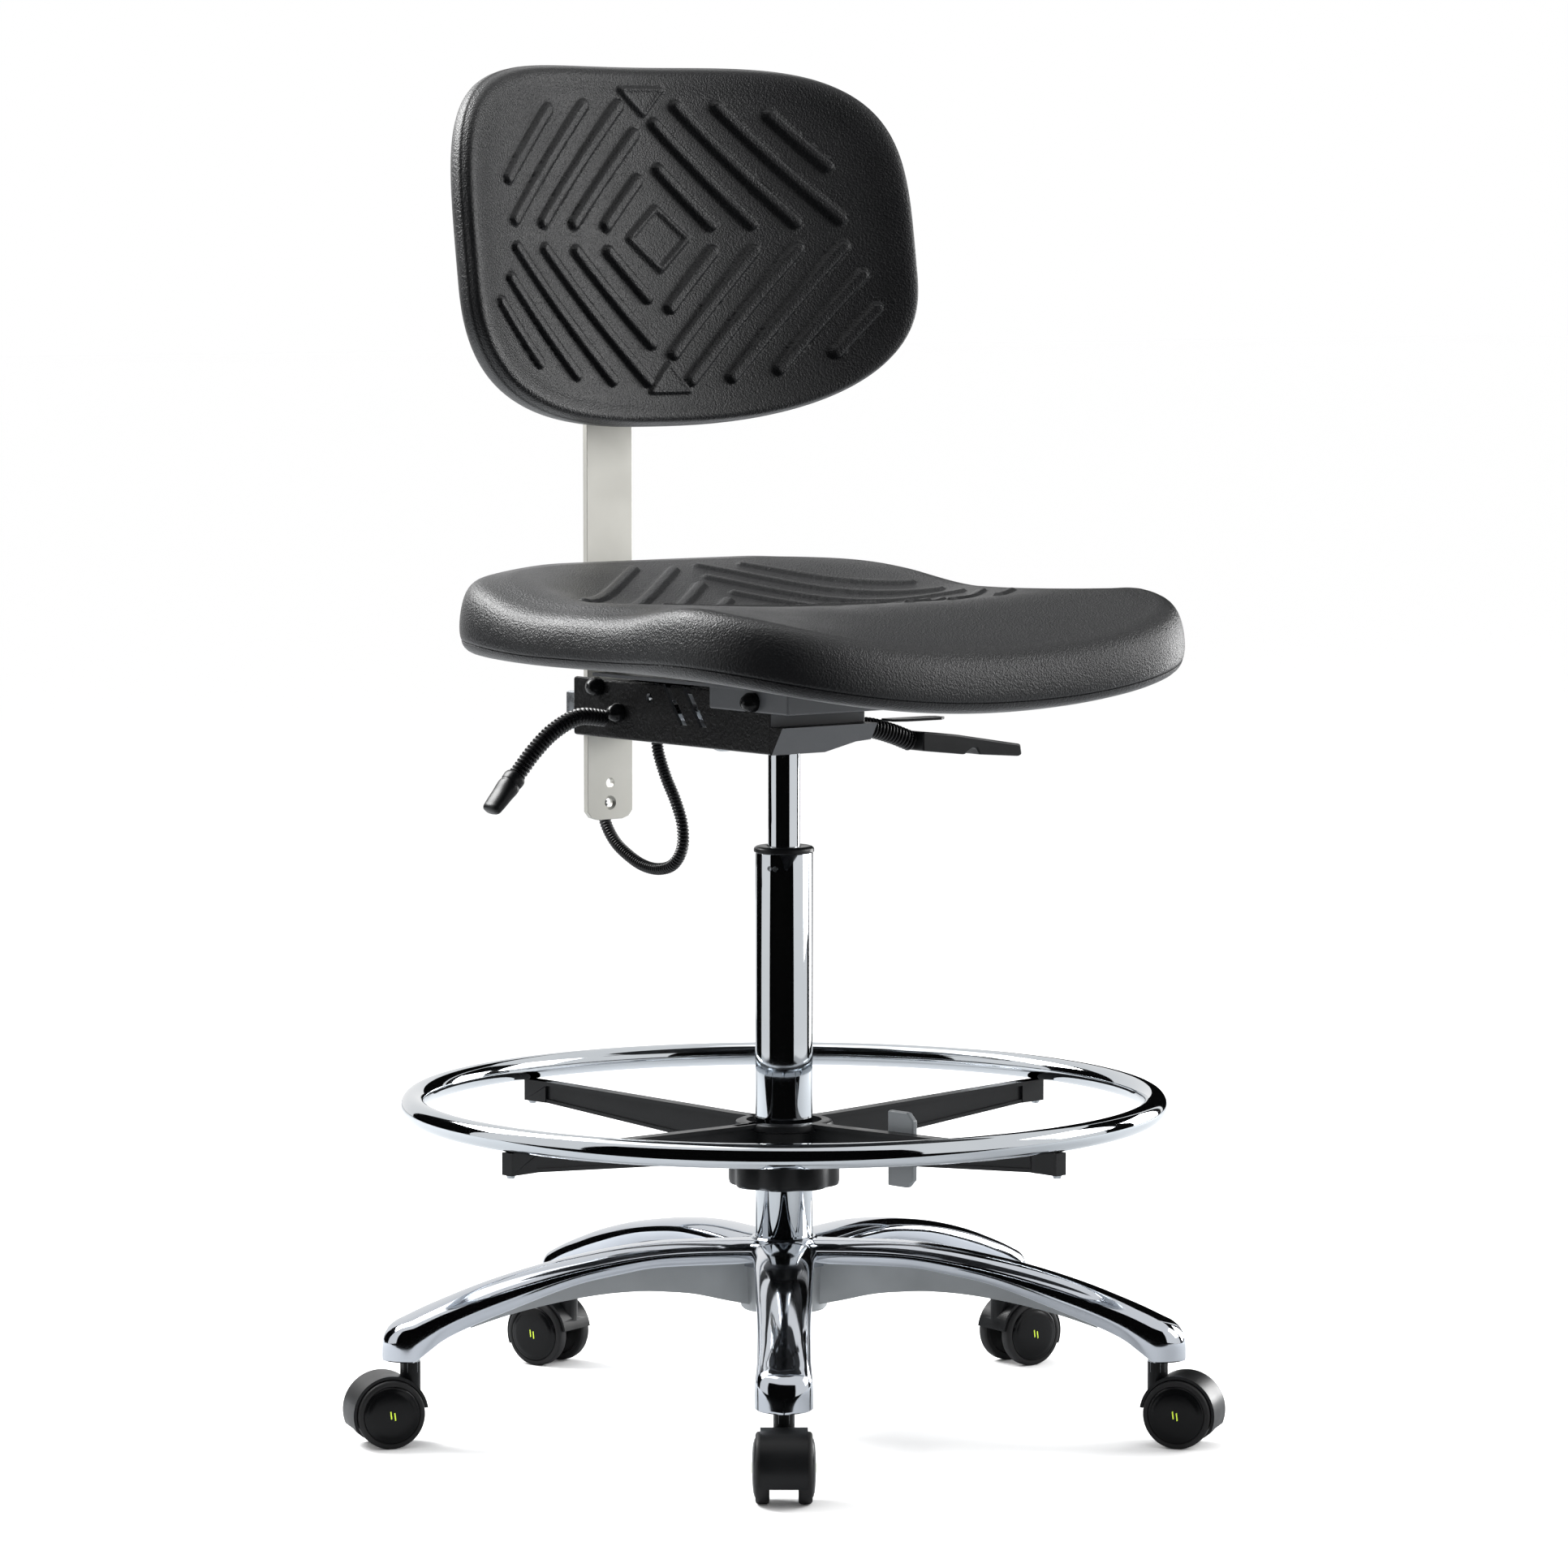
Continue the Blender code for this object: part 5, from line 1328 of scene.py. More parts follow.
# --- star base ----------------------------------------------------------------------------------
@dataclass
class StarBase:
    """Five cast legs on a hub: polished arches over a matt web.

    Attributes:
        legs: How many.
        turn: Turn of the first leg from the front.
        pivot: From the column's axis to a caster's stem.
        tip_radius: Rounding of a leg's end in the plan.
        hub_radius: Radius of the hub.
        hub_low: Height of the hub's underside.
        hub_high: Height of its top.
        tube_radius: Radius of the hole for the column.
        web_half: Half the thickness of a web.
    """

    legs: int = 5
    turn: float = math.radians(-38.0)
    pivot: float = 0.336
    tip_radius: float = 0.0240
    hub_radius: float = 0.0405
    hub_low: float = 0.100
    hub_high: float = 0.1600
    tube_radius: float = 0.0253
    web_half: float = 0.0115

    def leg_angle(self, index: int) -> float:
        """A leg's turn about the column, from +X."""
        return self.turn - math.pi / 2 + index * TAU / self.legs

    def crown(self, s: Points) -> Points:
        """Height of a leg's top line."""
        return curve_through([(0.0, 0.1610), (0.042, 0.1625), (0.095, 0.1637), (0.144, 0.1607),
                              (0.180, 0.1556), (0.229, 0.1462), (0.2765, 0.1334), (0.3125, 0.1205),
                              (0.336, 0.1106), (0.348, 0.1052), (0.3545, 0.0995), (0.3585, 0.0925),
                              (0.3600, 0.0860)], s)

    def rim(self, s: Points) -> Points:
        """Height of the polished side's lower edge."""
        return curve_through([(0.0, 0.1440), (0.065, 0.1442), (0.1145, 0.1446), (0.163, 0.1388),
                              (0.194, 0.1328), (0.256, 0.1125), (0.290, 0.1005), (0.313, 0.0905),
                              (0.330, 0.0790), (0.340, 0.0734), (0.3602, 0.0734)], s)

    def half(self, s: Points) -> Points:
        """Half width of a leg in the plan.

        Args:
            s: Places along the leg, from the column's axis.

        Returns:
            The half width at each place.
        """
        body = curve_through([(0.0, 0.0300), (0.042, 0.0285), (0.075, 0.0264), (0.12, 0.0256), (0.20, 0.0236),
                              (0.27, 0.0224), (0.315, 0.0228), (0.336, 0.0238), (0.361, 0.0238)], s)
        beyond = np.clip(s - self.pivot, 0.0, self.tip_radius)
        round_end = np.sqrt(np.clip(self.tip_radius ** 2 - beyond ** 2, 1e-9, None))
        return np.where(s > self.pivot, np.minimum(body, round_end), body)

    def leg(self) -> Shape:
        """One leg along +X.

        Returns:
            Its shape.
        """
        places = np.concatenate([np.linspace(0.012, 0.330, 44),
                                 self.pivot + self.tip_radius * np.sin(np.linspace(0.0, math.pi / 2, 15))])
        places[-1] -= 0.00002
        across = 28
        rings = []
        for s in places:
            half, crown, rim = float(self.half(s)), float(self.crown(s)), float(self.rim(s))
            share = float(smooth_step(s, 0.29, 0.336))
            power = 2.3 + 0.7 * share
            ring = []
            for k in range(across + 1):
                angle = math.pi * k / across
                c, n = math.cos(angle), math.sin(angle)
                x = half * math.copysign(abs(c) ** (2 / power), c)
                skirt = rim + (0.42 - 0.02 * share) * (crown - rim)
                ring.append((s, x, skirt + (crown - skirt) * abs(n) ** (2 / power)))
            tuck = 0.075 * (1 - share) + 0.002
            for k in range(1, 6):
                ring.append((s, -half * (1 - tuck * (k / 6) ** 2), skirt + (rim + 0.0012 - skirt) * k / 6))
            side = half * (1 - tuck)
            ring += [(s, -side, rim + 0.0012), (s, -side + 0.0016, rim), (s, side - 0.0016, rim),
                     (s, side, rim + 0.0012)]
            for k in range(5, 0, -1):
                ring.append((s, half * (1 - tuck * (k / 6) ** 2), skirt + (rim + 0.0012 - skirt) * k / 6))
            rings.append(ring)
        return ring_shape(np.array(rings))

    def web(self) -> Shape:
        """The matt web under one leg, along +X.

        Returns:
            Its shape.
        """
        low = [(0.028, 0.1045), (0.055, 0.1105), (0.086, 0.1180), (0.110, 0.1210), (0.135, 0.1227),
               (0.160, 0.1222), (0.183, 0.1203), (0.219, 0.1151), (0.253, 0.1080), (0.285, 0.0990)]
        low = [(float(x), float(curve_through(low, x))) for x in np.linspace(0.028, 0.285, 30)]
        high = [(x, float(self.rim(x)) + 0.006) for x, _ in reversed(low)]
        return extruded(low + high, -self.web_half, self.web_half, Axis.Y)

    def build(self) -> None:
        """Makes the polished legs and hub, and the matt webs."""
        hub = [(0.0, self.hub_high), (self.hub_radius - 0.005, self.hub_high),
               (self.hub_radius - 0.0015, self.hub_high - 0.0015), (self.hub_radius, self.hub_high - 0.005),
               (self.hub_radius + 0.001, 0.140), (0.0, 0.140)]
        made = raw_object("base_casting", turned(hub, 96))
        collar = [(0.0, self.hub_high + 0.0035), (self.tube_radius + 0.0022, self.hub_high + 0.0035),
                  (self.tube_radius + 0.0036, self.hub_high + 0.0022),
                  (self.tube_radius + 0.0040, self.hub_high - 0.004), (0.0, self.hub_high - 0.004)]
        boolean(made, turned(collar, 96), "UNION")
        for index in range(self.legs):
            turn = Matrix.Rotation(self.leg_angle(index), 4, "Z")
            boolean(made, self.leg().moved(turn), "UNION")
        low, high = 0.09, 0.20
        bored(made, self.tube_radius, low, high, 96)
        dress(made, BUFFED, "base", ("star_base",), 32.0)
        core = [(0.0, 0.146), (self.hub_radius - 0.001, 0.146),
                (self.hub_radius - 0.003, self.hub_low + 0.002), (self.hub_radius - 0.005, self.hub_low),
                (0.0, self.hub_low)]
        webs = raw_object("base_webs", turned(core, 72))
        for index in range(self.legs):
            turn = Matrix.Rotation(self.leg_angle(index), 4, "Z")
            boolean(webs, self.web().moved(turn), "UNION")
        bored(webs, self.tube_radius, low, high, 96)
        softened(webs, 0.0008, 2, 50.0)
        dress(webs, AS_CAST, "base", (), 32.0, True)


# --- casters ------------------------------------------------------------------------------------
@dataclass
class TwinWheelCaster:
    """One caster: a hood on its stem, an axle and two wheels with printed covers.

    Attributes:
        index: Which leg it stands under.
        star: The base that it stands under.
        turns: Each caster's swivel from straight out, in degrees.
        trail: From the stem back to the axle.
        wheel_radius: Radius of a wheel.
        inner: From the middle to a wheel's inner face.
        tread: Width of a wheel.
        dome: Height of its cover.
        hood_half: Half the hood's width.
        wall: The hood's wall.
        room: Room between the wheel and the hood.
    """

    index: int
    star: StarBase
    turns: tuple[float, ...] = (0.0, 0.0, -20.0, 20.0, 0.0)
    trail: float = 0.0220
    wheel_radius: float = 0.0295
    inner: float = 0.0118
    tread: float = 0.0114
    dome: float = 0.0030
    hood_half: float = 0.0195
    wall: float = 0.0026
    room: float = 0.0008

    def place(self) -> Matrix:
        """The caster's frame: its stem at the origin, trailing along +X.

        Returns:
            The frame.
        """
        angle = self.star.leg_angle(self.index)
        reach = Matrix.Rotation(angle, 4, "Z") @ Vector((self.star.pivot, 0.0, 0.0))
        swivel = Matrix.Rotation(angle + math.radians(self.turns[self.index]), 4, "Z")
        return Matrix.Translation(reach) @ swivel

    def wheel(self) -> Shape:
        """A wheel about Z, its cover towards +Z, its inner face down."""
        r, outer, inner = self.wheel_radius, self.inner + self.tread, self.inner
        return turned([(0.0, outer - 0.0006), (0.0245, outer - 0.0006), (0.0252, outer + 0.0002),
                       (r - 0.0026, outer + 0.0002), (r - 0.0012, outer - 0.0004),
                       (r - 0.0003, outer - 0.0014), (r, outer - 0.0030), (r, inner + 0.0024),
                       (r - 0.0004, inner + 0.0012), (r - 0.0014, inner + 0.0002), (r - 0.0026, inner),
                       (0.0240, inner), (0.0225, inner + 0.0030), (0.0080, inner + 0.0030), (0.0070, inner),
                       (0.0034, inner), (0.0034, inner + 0.006), (0.0, inner + 0.006)], 96)

    def cover(self) -> Shape:
        """The domed cover, with a fine step near its rim."""
        outer, dome = self.inner + self.tread, self.dome
        return turned([(0.0, outer + dome), (0.0060, outer + dome * 0.98), (0.0120, outer + dome * 0.90),
                       (0.0175, outer + dome * 0.74), (0.0205, outer + dome * 0.60),
                       (0.0212, outer + dome * 0.44), (0.0222, outer + dome * 0.42),
                       (0.0236, outer + dome * 0.26), (0.0243, outer), (0.0243, outer - 0.0012),
                       (0.0, outer - 0.0012)], 96)

    def printed_bars(self) -> Shape:
        """Two small slanted bars, raised a hair over the cover.

        Returns:
            Both bars, about Z.
        """
        top = self.inner + self.tread + self.dome
        bars = []
        for across, up in ((-0.0014, 0.0012), (0.0014, -0.0012)):
            bar = [(across - 0.0013, up - 0.0032), (across - 0.0002, up - 0.0032),
                   (across + 0.0013, up + 0.0032), (across + 0.0002, up + 0.0032)]
            bars.append(extruded(bar, top - 0.0004, top + 0.00012))
        return join_all(bars)

    def hood(self) -> bpy.types.Object:
        """The hood: an arched shell, a middle web and the boss for the stem.

        Returns:
            The hood, without its surface.
        """
        outer = self.wheel_radius + self.room + self.wall
        centre = (self.trail, self.wheel_radius)

        def arc(radius: float, start: float, end: float, steps: int) -> list[tuple[float, float]]:
            """Points on a circle about the axle, between two angles in degrees."""
            angles = np.radians(np.linspace(start, end, steps + 1))
            return [(centre[0] + radius * math.cos(a), centre[1] + radius * math.sin(a)) for a in angles]

        shell = arc(outer, -22.0, 172.0, 40) + arc(outer - self.wall, 172.0, -22.0, 40)
        upright = Matrix.Rotation(math.pi / 2, 4, "X")
        place = self.place()
        half = self.hood_half
        made = raw_object(f"caster_{self.index + 1}_cover_hood",
                          extruded(shell, -half, half).moved(place @ upright))
        web = arc(outer - self.wall / 2, 30.0, 165.0, 24) + arc(0.0115, 200.0, 340.0, 10)
        thick = self.inner - self.room
        boolean(made, extruded(web, -thick, thick).moved(place @ upright), "UNION")
        boss = [(0.0, 0.0724), (0.0078, 0.0724), (0.0088, 0.0712), (0.0088, 0.0400), (0.0, 0.0400)]
        boolean(made, turned(boss, 40).moved(place), "UNION")
        window = block((-0.030, -0.0052, 0.010), (-0.0135, 0.0052, 0.046))
        boolean(made, window.moved(place), "DIFFERENCE")
        softened(made, 0.0009, 3, 40.0)
        return made

    def build(self) -> None:
        """Makes the caster's pieces."""
        number = self.index + 1
        body = f"caster_{number}"
        dress(self.hood(), NYLON, body, (f"caster_{number}_hood",), 40.0, True)
        middle = Vector((self.trail, 0.0, self.wheel_radius))
        for side, quarter, turn in (("left", -math.pi / 2, math.pi), ("right", math.pi / 2, 0.0)):
            at = self.place() @ Matrix.Translation(middle) @ Matrix.Rotation(quarter, 4, "X")
            ride_on = f"{body}_{side}_wheel"
            node = f"caster_{number}_wheel_{side}"
            wheel = raw_object(f"{body}_tyre_{side}", self.wheel().moved(at))
            dress(wheel, TREAD, ride_on, (node,), 32.0)
            cover = raw_object(f"{body}_wheel_cover_{side}", self.cover().moved(at))
            dress(cover, GLOSS_NYLON, ride_on, (), 32.0)
            slant = Matrix.Rotation(turn + 0.35, 4, "Z")
            mark = raw_object(f"{body}_mark_{side}", self.printed_bars().moved(at @ slant))
            dress(mark, PRINT, ride_on)
        for part in ("stem", "axle"):
            finish_node(f"caster_{number}_{part}", ZINC)


# --- foot ring ----------------------------------------------------------------------------------
@dataclass
class FootRing:
    """Chromed ring on a moulded four-spoke frame, its locking knob and its release lever.

    Attributes:
        radius: From the column's axis to the middle of the ring's tube.
        tube: Radius of the tube.
        height: Height of its middle.
        spokes: How many.
        turn: Turn of the spokes from the front.
        hub_radius: Radius of the hub.
        hub_drop: From the tube's middle down to the hub's top.
        depth_hub: Depth of the hub.
        depth_end: Depth of a spoke at its end.
        overhang: How far a spoke reaches past the tube's middle.
        column: Radius of the hole for the column.
        knob_radius: Radius of the knob.
        knob_height: Its height.
        lobes: Its lobes.
        scallop: Depth of the hollows between them.
    """

    radius: float = 0.3218
    tube: float = 0.0105
    height: float = 0.2803
    spokes: int = 4
    turn: float = math.radians(-38.0)
    hub_radius: float = 0.0430
    hub_drop: float = 0.0150
    depth_hub: float = 0.0340
    depth_end: float = 0.0190
    overhang: float = 0.0045
    column: float = 0.0253
    knob_radius: float = 0.0485
    knob_height: float = 0.0230
    lobes: int = 8
    scallop: float = 0.0042

    def ring(self) -> Shape:
        """The round tube.

        Returns:
            Its shape.
        """
        steps, sides = 220, 32
        rings = []
        for i in range(steps):
            a = TAU * i / steps
            ring = []
            for k in range(sides):
                b = TAU * k / sides
                out = self.radius + self.tube * math.cos(b)
                ring.append((out * math.cos(a), out * math.sin(a), self.height + self.tube * math.sin(b)))
            rings.append(ring)
        return ring_shape(np.array(rings), loop=True)

    def spoke(self) -> list[Shape]:
        """One spoke along +X: a thin web between two flanges, with a square foot under the ring.

        Returns:
            Its shapes, still to be joined.
        """
        top_hub = self.height - self.hub_drop
        top_end = self.height - self.tube - 0.0003
        low_hub = top_hub - self.depth_hub + 0.003
        low_end = top_end - self.depth_end
        end = self.radius + self.overhang
        level = end - 0.030

        def beam(start: float, stop: float, high: Profile, low: Profile, half: float) -> Shape:
            """A beam between two places, two lines of heights and two sides."""
            places = [start] + [p for p, _ in high if start < p < stop] + [stop]
            upper = [(p, float(np.interp(p, *zip(*high)))) for p in places]
            lower = [(p, float(np.interp(p, *zip(*low)))) for p in places]
            return extruded(lower + upper[::-1], -half, half, Axis.Y)

        top = [(0.020, top_hub), (0.060, top_hub), (level, top_end), (end, top_end)]
        low = [(0.020, low_hub), (0.060, low_hub), (level, low_end), (end, low_end)]
        shapes = [beam(0.022, end - 0.004, top, low, 0.0034)]
        shapes.append(beam(0.022, end - 0.002, top, [(p, z - 0.0035) for p, z in top], 0.0060))
        shapes.append(beam(0.022, end - 0.002, [(p, z + 0.0030) for p, z in low], low, 0.0054))
        shapes.append(beam(end - 0.028, end, top, low, 0.0060))
        return shapes

    def frame_piece(self) -> None:
        """The hub with its spokes."""
        high = self.height - self.hub_drop
        low = high - self.depth_hub
        r = self.hub_radius
        hub = [(0.0, high), (r - 0.0040, high), (r - 0.0012, high - 0.0012), (r, high - 0.0040),
               (r, high - 0.0060), (r - 0.0060, high - 0.0085), (r - 0.0070, low + 0.010),
               (r - 0.0035, low + 0.007), (r - 0.0035, low), (0.0, low)]
        made = raw_object("ring_spider", turned(hub, 96))
        for index in range(self.spokes):
            angle = self.turn - math.pi / 2 + math.pi / self.spokes + index * TAU / self.spokes
            turn = Matrix.Rotation(angle, 4, "Z")
            for shape in self.spoke():
                boolean(made, shape.moved(turn), "UNION")
        bored(made, self.column + 0.0075, high - 0.006, high + 0.01)
        bored(made, self.column, low - 0.01, high + 0.01)
        softened(made, 0.0007, 2, 40.0)
        dress(made, NYLON, "foot_ring", ("spoke_frame",), 36.0, True)

    def knob(self) -> None:
        """The scalloped knob under the hub."""
        high = self.height - self.hub_drop - self.depth_hub - 0.0003
        low = high - self.knob_height
        steps = 24 * self.lobes
        levels = [(high, -0.0060), (high, -0.0010), (high - 0.0006, -0.0003), (high - 0.0018, 0.0),
                  (low + 0.0050, 0.0), (low + 0.0018, -0.0006), (low + 0.0005, -0.0018), (low, -0.0034)]
        rings = []
        for z, inset in levels:
            ring = []
            for i in range(steps):
                a = TAU * i / steps
                dip = self.scallop * (1 - abs(math.cos(self.lobes * a / 2)) ** 1.6)
                radius = self.knob_radius - dip + inset
                ring.append((radius * math.cos(a), radius * math.sin(a), z))
            rings.append(ring)
        made = raw_object("lock_knob", ring_shape(np.array(rings)))
        bored(made, self.column, low - 0.01, high + 0.01)
        dress(made, NYLON, "ring_knob", ("ring_lock_knob",), 32.0)

    def build(self) -> None:
        """Makes the foot ring's pieces."""
        dress(raw_object("foot_ring_tube", self.ring()), CHROME, "foot_ring", ("foot_ring",))
        self.frame_piece()
        self.knob()
        refined("release_tab", "ring_release_lever", GREY_ACETAL, "ring_lever", 0.0014)
        for index in range(self.spokes):
            finish_node(f"ring_screw_{index + 1}", ZINC)


# --- mechanism ----------------------------------------------------------------------------------
@dataclass
class Mechanism:
    """Folded housing, seat bracket, back arm, pins and fasteners under the seat.

    Attributes:
        underside: Height of the housing's underside.
        half: Half its width.
        front: Place of its front face.
        bow: How far the front leans out at its top.
        bow_top: Height where it leans out most.
        cut: Height of the cut corner at the housing's side.
        cut_rear: How far back the cut goes.
    """

    underside: float = 0.588
    half: float = 0.0520
    front: float = -0.0494
    bow: float = 0.0150
    bow_top: float = 0.6120
    cut: float = 0.5975
    cut_rear: float = 0.0200

    def housing(self) -> None:
        """The housing, whose front leans out to a bow with one lower corner cut off."""
        made = node_copy("housing_shell", "mechanism_housing")
        wedge = [(self.front + 0.002, self.underside), (self.front, self.underside),
                 (self.front - self.bow, self.bow_top), (self.front + 0.002, self.bow_top)]
        boolean(made, extruded(wedge, -self.half, self.half, Axis.X), "UNION")
        corner = [(0.0020, self.underside - 0.004), (self.half + 0.004, self.underside - 0.004),
                  (self.half + 0.004, self.cut), (0.0360, self.cut - 0.0015), (0.0060, self.underside)]
        boolean(made, extruded(corner, -0.100, self.cut_rear, Axis.Y), "DIFFERENCE")
        softened(made, 0.0007, 2, 38.0)
        dress(made, WRINKLE_COAT, "seat_frame", ("mechanism_housing",), 38.0, True)
        # The faces that look forward take the lighter charcoal coat: painted light that brightens the front of
        # the black housing.
        made.data.materials.append(SATIN_COAT_AND_PAINTED_FRONT_LIGHT.material())
        for face in made.data.polygons:
            if face.normal.y < -0.5:
                face.material_index = 1

    def plate_nut(self) -> None:
        """Domed nut under the housing's plate."""
        dome = [(0.0, -0.0052), (0.0050, -0.0048), (0.0082, -0.0034), (0.0094, -0.0018), (0.0120, -0.0014),
                (0.0124, -0.0004), (0.0, -0.0004)]
        place = Matrix.Translation((-0.020, 0.060, self.underside))
        dress(raw_object("plate_nut", turned(dome, 40).moved(place)), ZINC, "seat_frame")

    def build(self) -> None:
        """Dresses the housing and what bolts to it."""
        self.plate_nut()
        self.housing()
        refined("seat_plate", "seat_bracket", SATIN_COAT_AND_PAINTED_FRONT_LIGHT, "seat", 0.0008)
        refined("back_swing_arm", "back_arm", ZINC, "back_arm", 0.0010)
        refined("clamp_bolt", "bar_clamp_screw", ZINC, "back_arm", 0.0004, 30.0)
        refined("fixing_block", "backrest_bracket", WRINKLE_COAT, "back", 0.0010)
        for node, body in (("back_axle", "seat_frame"), ("stop_pin", "seat_frame"), ("seat_axle", "seat")):
            refined(node + "_caps", node, GLOSS_NYLON, body, 0.0003, 45.0)
        for node in ("back_bolt_lower", "back_bolt_upper"):
            refined(node + "_head", node, ZINC, "back", 0.0003, 45.0)
        for node, finish in (("piston_rod", CHROME), ("thrust_bearing", ZINC), ("valve_button", ZINC),
                             ("guide_bushing", GREY_ACETAL)):
            finish_node(node, finish)


@dataclass
class BackBar:
    """Flat nickel-plated bar that carries the back.

    Attributes:
        half: Half its width.
        front: Place of its front face.
        thick: Its thickness.
        low: Height of its lower end.
        high: Height of its upper end.
        hole: Radius of its holes.
        holes: The lower holes, from its lower end.
        bolts: Heights of the holes for the back's bolts.
    """

    half: float = 0.0250
    front: float = 0.2530
    thick: float = 0.0060
    low: float = 0.5080
    high: float = 1.0800
    hole: float = 0.0042
    holes: tuple[float, ...] = (0.0150, 0.0330)
    bolts: tuple[float, ...] = (0.960, 1.040)

    def build(self) -> None:
        """Makes the bar with its holes."""
        half = self.half
        outline = [(-half, self.low + 0.0075), (-half + 0.0045, self.low + 0.0022), (-half + 0.0115, self.low),
                   (half - 0.0115, self.low), (half - 0.0045, self.low + 0.0022), (half, self.low + 0.0075),
                   (half, self.high - 0.004), (half - 0.004, self.high), (-half + 0.004, self.high),
                   (-half, self.high - 0.004)]
        bar = extruded(outline, self.front, self.front + self.thick, Axis.Y)
        made = raw_object("back_support_bar", bar)
        sideways = Matrix.Rotation(math.pi / 2, 4, "X")
        drill = turned([(0.0, 0.02), (self.hole, 0.02), (self.hole, -0.02), (0.0, -0.02)], 40)
        for up in [self.low + h for h in self.holes] + list(self.bolts):
            at = Matrix.Translation((0.0, self.front + self.thick / 2, up)) @ sideways
            boolean(made, drill.moved(at), "DIFFERENCE")
        sink = turned([(0.0, 0.001), (self.hole + 0.0030, 0.001), (self.hole + 0.0022, 0.0),
                       (self.hole, -0.0024), (0.0, -0.0024)], 40)
        at = Matrix.Translation((0.0, self.front, self.low + self.holes[0])) @ sideways
        boolean(made, sink.moved(at), "DIFFERENCE")
        softened(made, 0.0006, 2, 50.0)
        dress(made, NICKEL, "back", ("back_bar",), 32.0, True)


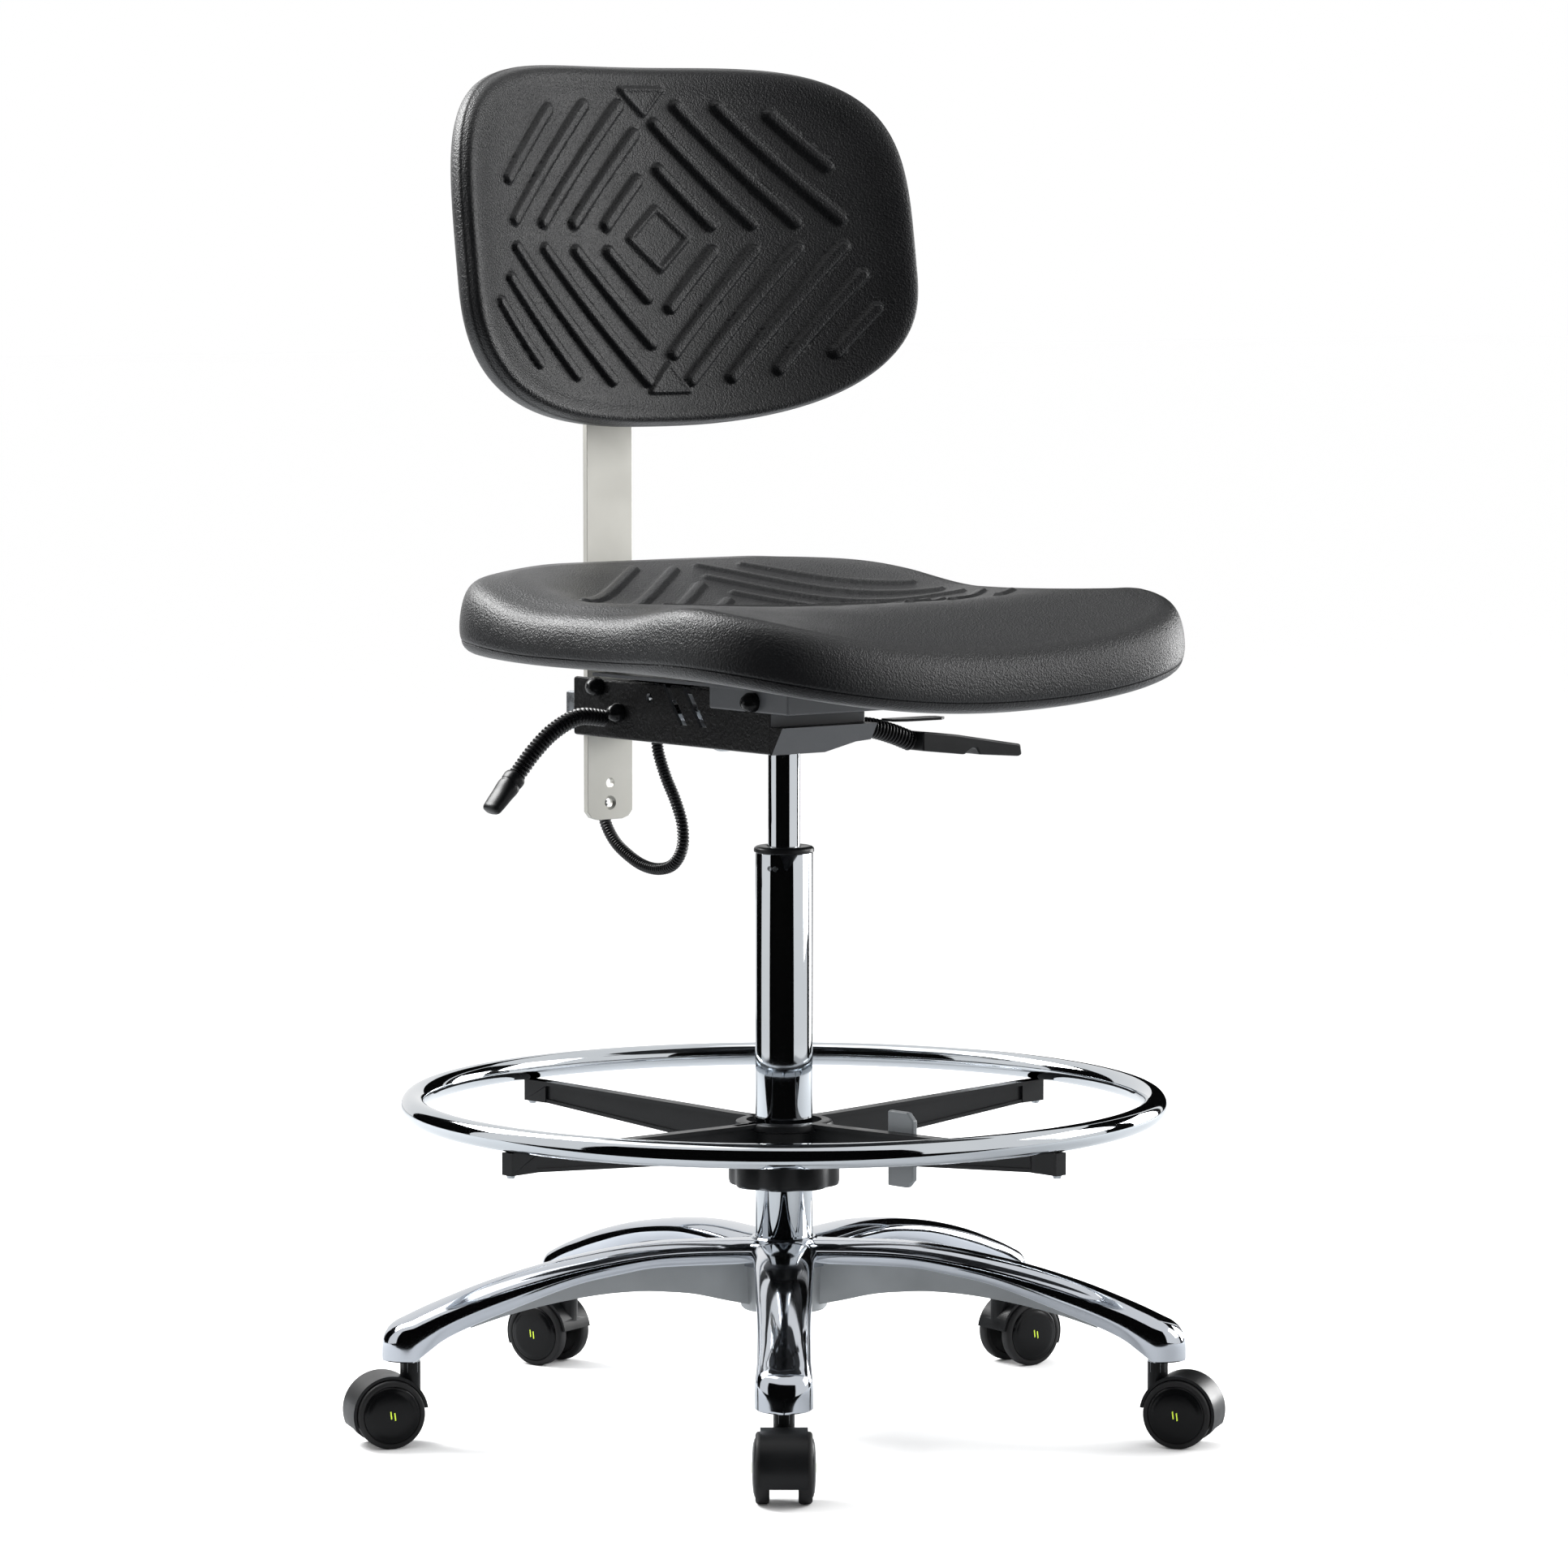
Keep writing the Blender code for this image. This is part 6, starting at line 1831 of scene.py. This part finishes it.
# --- levers and cable ---------------------------------------------------------------------------
@dataclass
class Controls:
    """The two side levers, the tilt lever and the conduit under the back bar.

    Attributes:
        root: From the middle out to the levers' roots.
        floor: Height of the housing's underside.
        neck_radius: Radius of the back lever's neck.
        coil_radius: Radius of the height lever's spring.
        grip_length: Length of the back lever's grip.
        cable_radius: Radius of the conduit.
        rib_pitch: From rib to rib on it.
        neck_pitch: From rib to rib on it.
        coil_wire: Radius of the spring's wire.
        coil_pitch: From ring to ring.
        neck_route: The neck's middle line, from the root out.
        coil_route: The spring's middle line, from the root out.
        cable_route: The conduit's middle line.
    """

    root: float = 0.0560
    floor: float = 0.5880
    neck_radius: float = 0.0078
    coil_radius: float = 0.0090
    grip_length: float = 0.0420
    cable_radius: float = 0.0055
    rib_pitch: float = 0.0031
    neck_pitch: float = 0.0038
    coil_wire: float = 0.0014
    coil_pitch: float = 0.0034
    neck_route: Route = ((0.000, 0.184, 0.0180), (0.029, 0.184, 0.0205), (0.056, 0.184, 0.0095),
                         (0.077, 0.184, -0.0070), (0.096, 0.184, -0.0270))
    coil_route: Route = ((0.000, -0.020, 0.0180), (0.024, -0.021, 0.0155), (0.046, -0.022, 0.0095),
                         (0.065, -0.023, 0.0025))
    cable_route: Route = ((-0.0020, 0.1800, 0.5888), (-0.0020, 0.1785, 0.5740), (-0.0015, 0.1680, 0.5520),
                          (-0.0008, 0.1550, 0.5320), (0.0000, 0.1460, 0.5110), (0.0010, 0.1475, 0.4900),
                          (0.0020, 0.1620, 0.4745), (0.0030, 0.1850, 0.4685), (0.0040, 0.2100, 0.4700),
                          (0.0050, 0.2340, 0.4775), (0.0060, 0.2545, 0.4880), (0.0070, 0.2700, 0.5040),
                          (0.0080, 0.2785, 0.5260), (0.0088, 0.2790, 0.5500), (0.0090, 0.2715, 0.5720),
                          (0.0090, 0.2680, 0.5888))

    def ribbed(self, path: Points, radius: float, pitch: float, depth: float, sides: int) -> Shape:
        """A conduit whose wall rises and falls once in each pitch.

        Args:
            path: Its middle line.
            radius: Its radius over the ribs.
            pitch: From rib to rib.
            depth: Depth of the grooves.
            sides: Sides of its section.

        Returns:
            The shape.
        """
        steps = np.linalg.norm(np.diff(path, axis=0), axis=1)
        along = np.concatenate([[0.0], np.cumsum(steps)])
        wave = 0.5 - 0.5 * np.cos(TAU * along / pitch)
        return swept(path, radius - depth * (1 - wave ** 0.6), sides)

    def cable(self) -> None:
        """The conduit, whose length is that of its route."""
        path = along_route(self.cable_route, self.rib_pitch / 6)
        made = raw_object("cable", self.ribbed(path, self.cable_radius, self.rib_pitch, 0.0013, 18))
        dress(made, CONDUIT, "back_arm", ("cable_conduit",), 70.0)

    def beside(self, route: Route, side: int) -> Route:
        """A side lever's route in the chair's frame."""
        return [(side * (self.root + out), y, self.floor + up) for out, y, up in route]

    def back_lever(self) -> None:
        """Gooseneck and grip at the sitter's right."""
        path = along_route(self.beside(self.neck_route, -1), self.neck_pitch / 8)
        neck = raw_object("gooseneck", self.ribbed(path, self.neck_radius, self.neck_pitch, 0.0020, 24))
        dress(neck, CONDUIT, "back_lever", ("back_lever_neck",), 70.0)
        along = path[-1] - path[-2]
        along /= np.linalg.norm(along)
        start = path[-1] + along * 0.0003
        stations = [(0.0, 0.0070, 0.0070), (0.03, 0.0084, 0.0084), (0.20, 0.0096, 0.0090),
                    (0.24, 0.0090, 0.0084), (0.28, 0.0100, 0.0088), (0.55, 0.0111, 0.0074),
                    (0.85, 0.0108, 0.0063), (0.95, 0.0100, 0.0056), (0.99, 0.0080, 0.0042),
                    (1.0, 0.0060, 0.0030)]
        side = np.array([0.0, 1.0, 0.0])
        up = np.cross(along, side)
        rings = []
        for share in np.linspace(0.0, 1.0, 48):
            wide = float(curve_through([(s, w) for s, w, _ in stations], share))
            thick = float(curve_through([(s, t) for s, _, t in stations], share))
            centre = start + along * self.grip_length * share
            ring = []
            for i in range(40):
                c, n = math.cos(TAU * i / 40), math.sin(TAU * i / 40)
                ring.append(centre + side * wide * math.copysign(abs(c) ** 0.8, c)
                            + up * thick * math.copysign(abs(n) ** 0.8, n))
            rings.append(ring)
        grip = raw_object("back_grip", ring_shape(np.array(rings)))
        dress(grip, NYLON, "back_lever", ("back_lever_grip",), 40.0)

    def height_lever(self) -> None:
        """Tight spring neck and paddle at the sitter's left."""
        path = along_route(self.beside(self.coil_route, 1), 0.001)
        core = swept(path, np.full(len(path), self.coil_radius - 1.8 * self.coil_wire), 24)
        coils = rings_along(path, self.coil_radius - self.coil_wire, self.coil_wire, self.coil_pitch,
                            CONDUIT)
        made = raw_object("lever_spring", core.joined([coils]))
        dress(made, CONDUIT, "height_lever", ("height_lever_coil",), 50.0)
        refined("height_paddle", "height_lever_paddle", NYLON, "height_lever", 0.0016, 30.0)
        refined("tilt_tab", "tilt_lever", NYLON, "tilt_lever", 0.0005, 30.0)

    def build(self) -> None:
        """Makes the levers."""
        self.back_lever()
        self.height_lever()


def main() -> None:
    """Builds the studio and then the chair, from the floor up."""
    logging.basicConfig(level=logging.INFO, format="%(name)s %(message)s")
    Studio().build()
    controls = Controls()
    controls.cable()
    star = StarBase()
    star.build()
    for index in range(star.legs):
        TwinWheelCaster(index, star).build()
    Column().build()
    FootRing().build()
    Mechanism().build()
    BackBar().build()
    controls.build()
    Seat().build()
    Backrest().build()


if __name__ == "__main__":
    main()
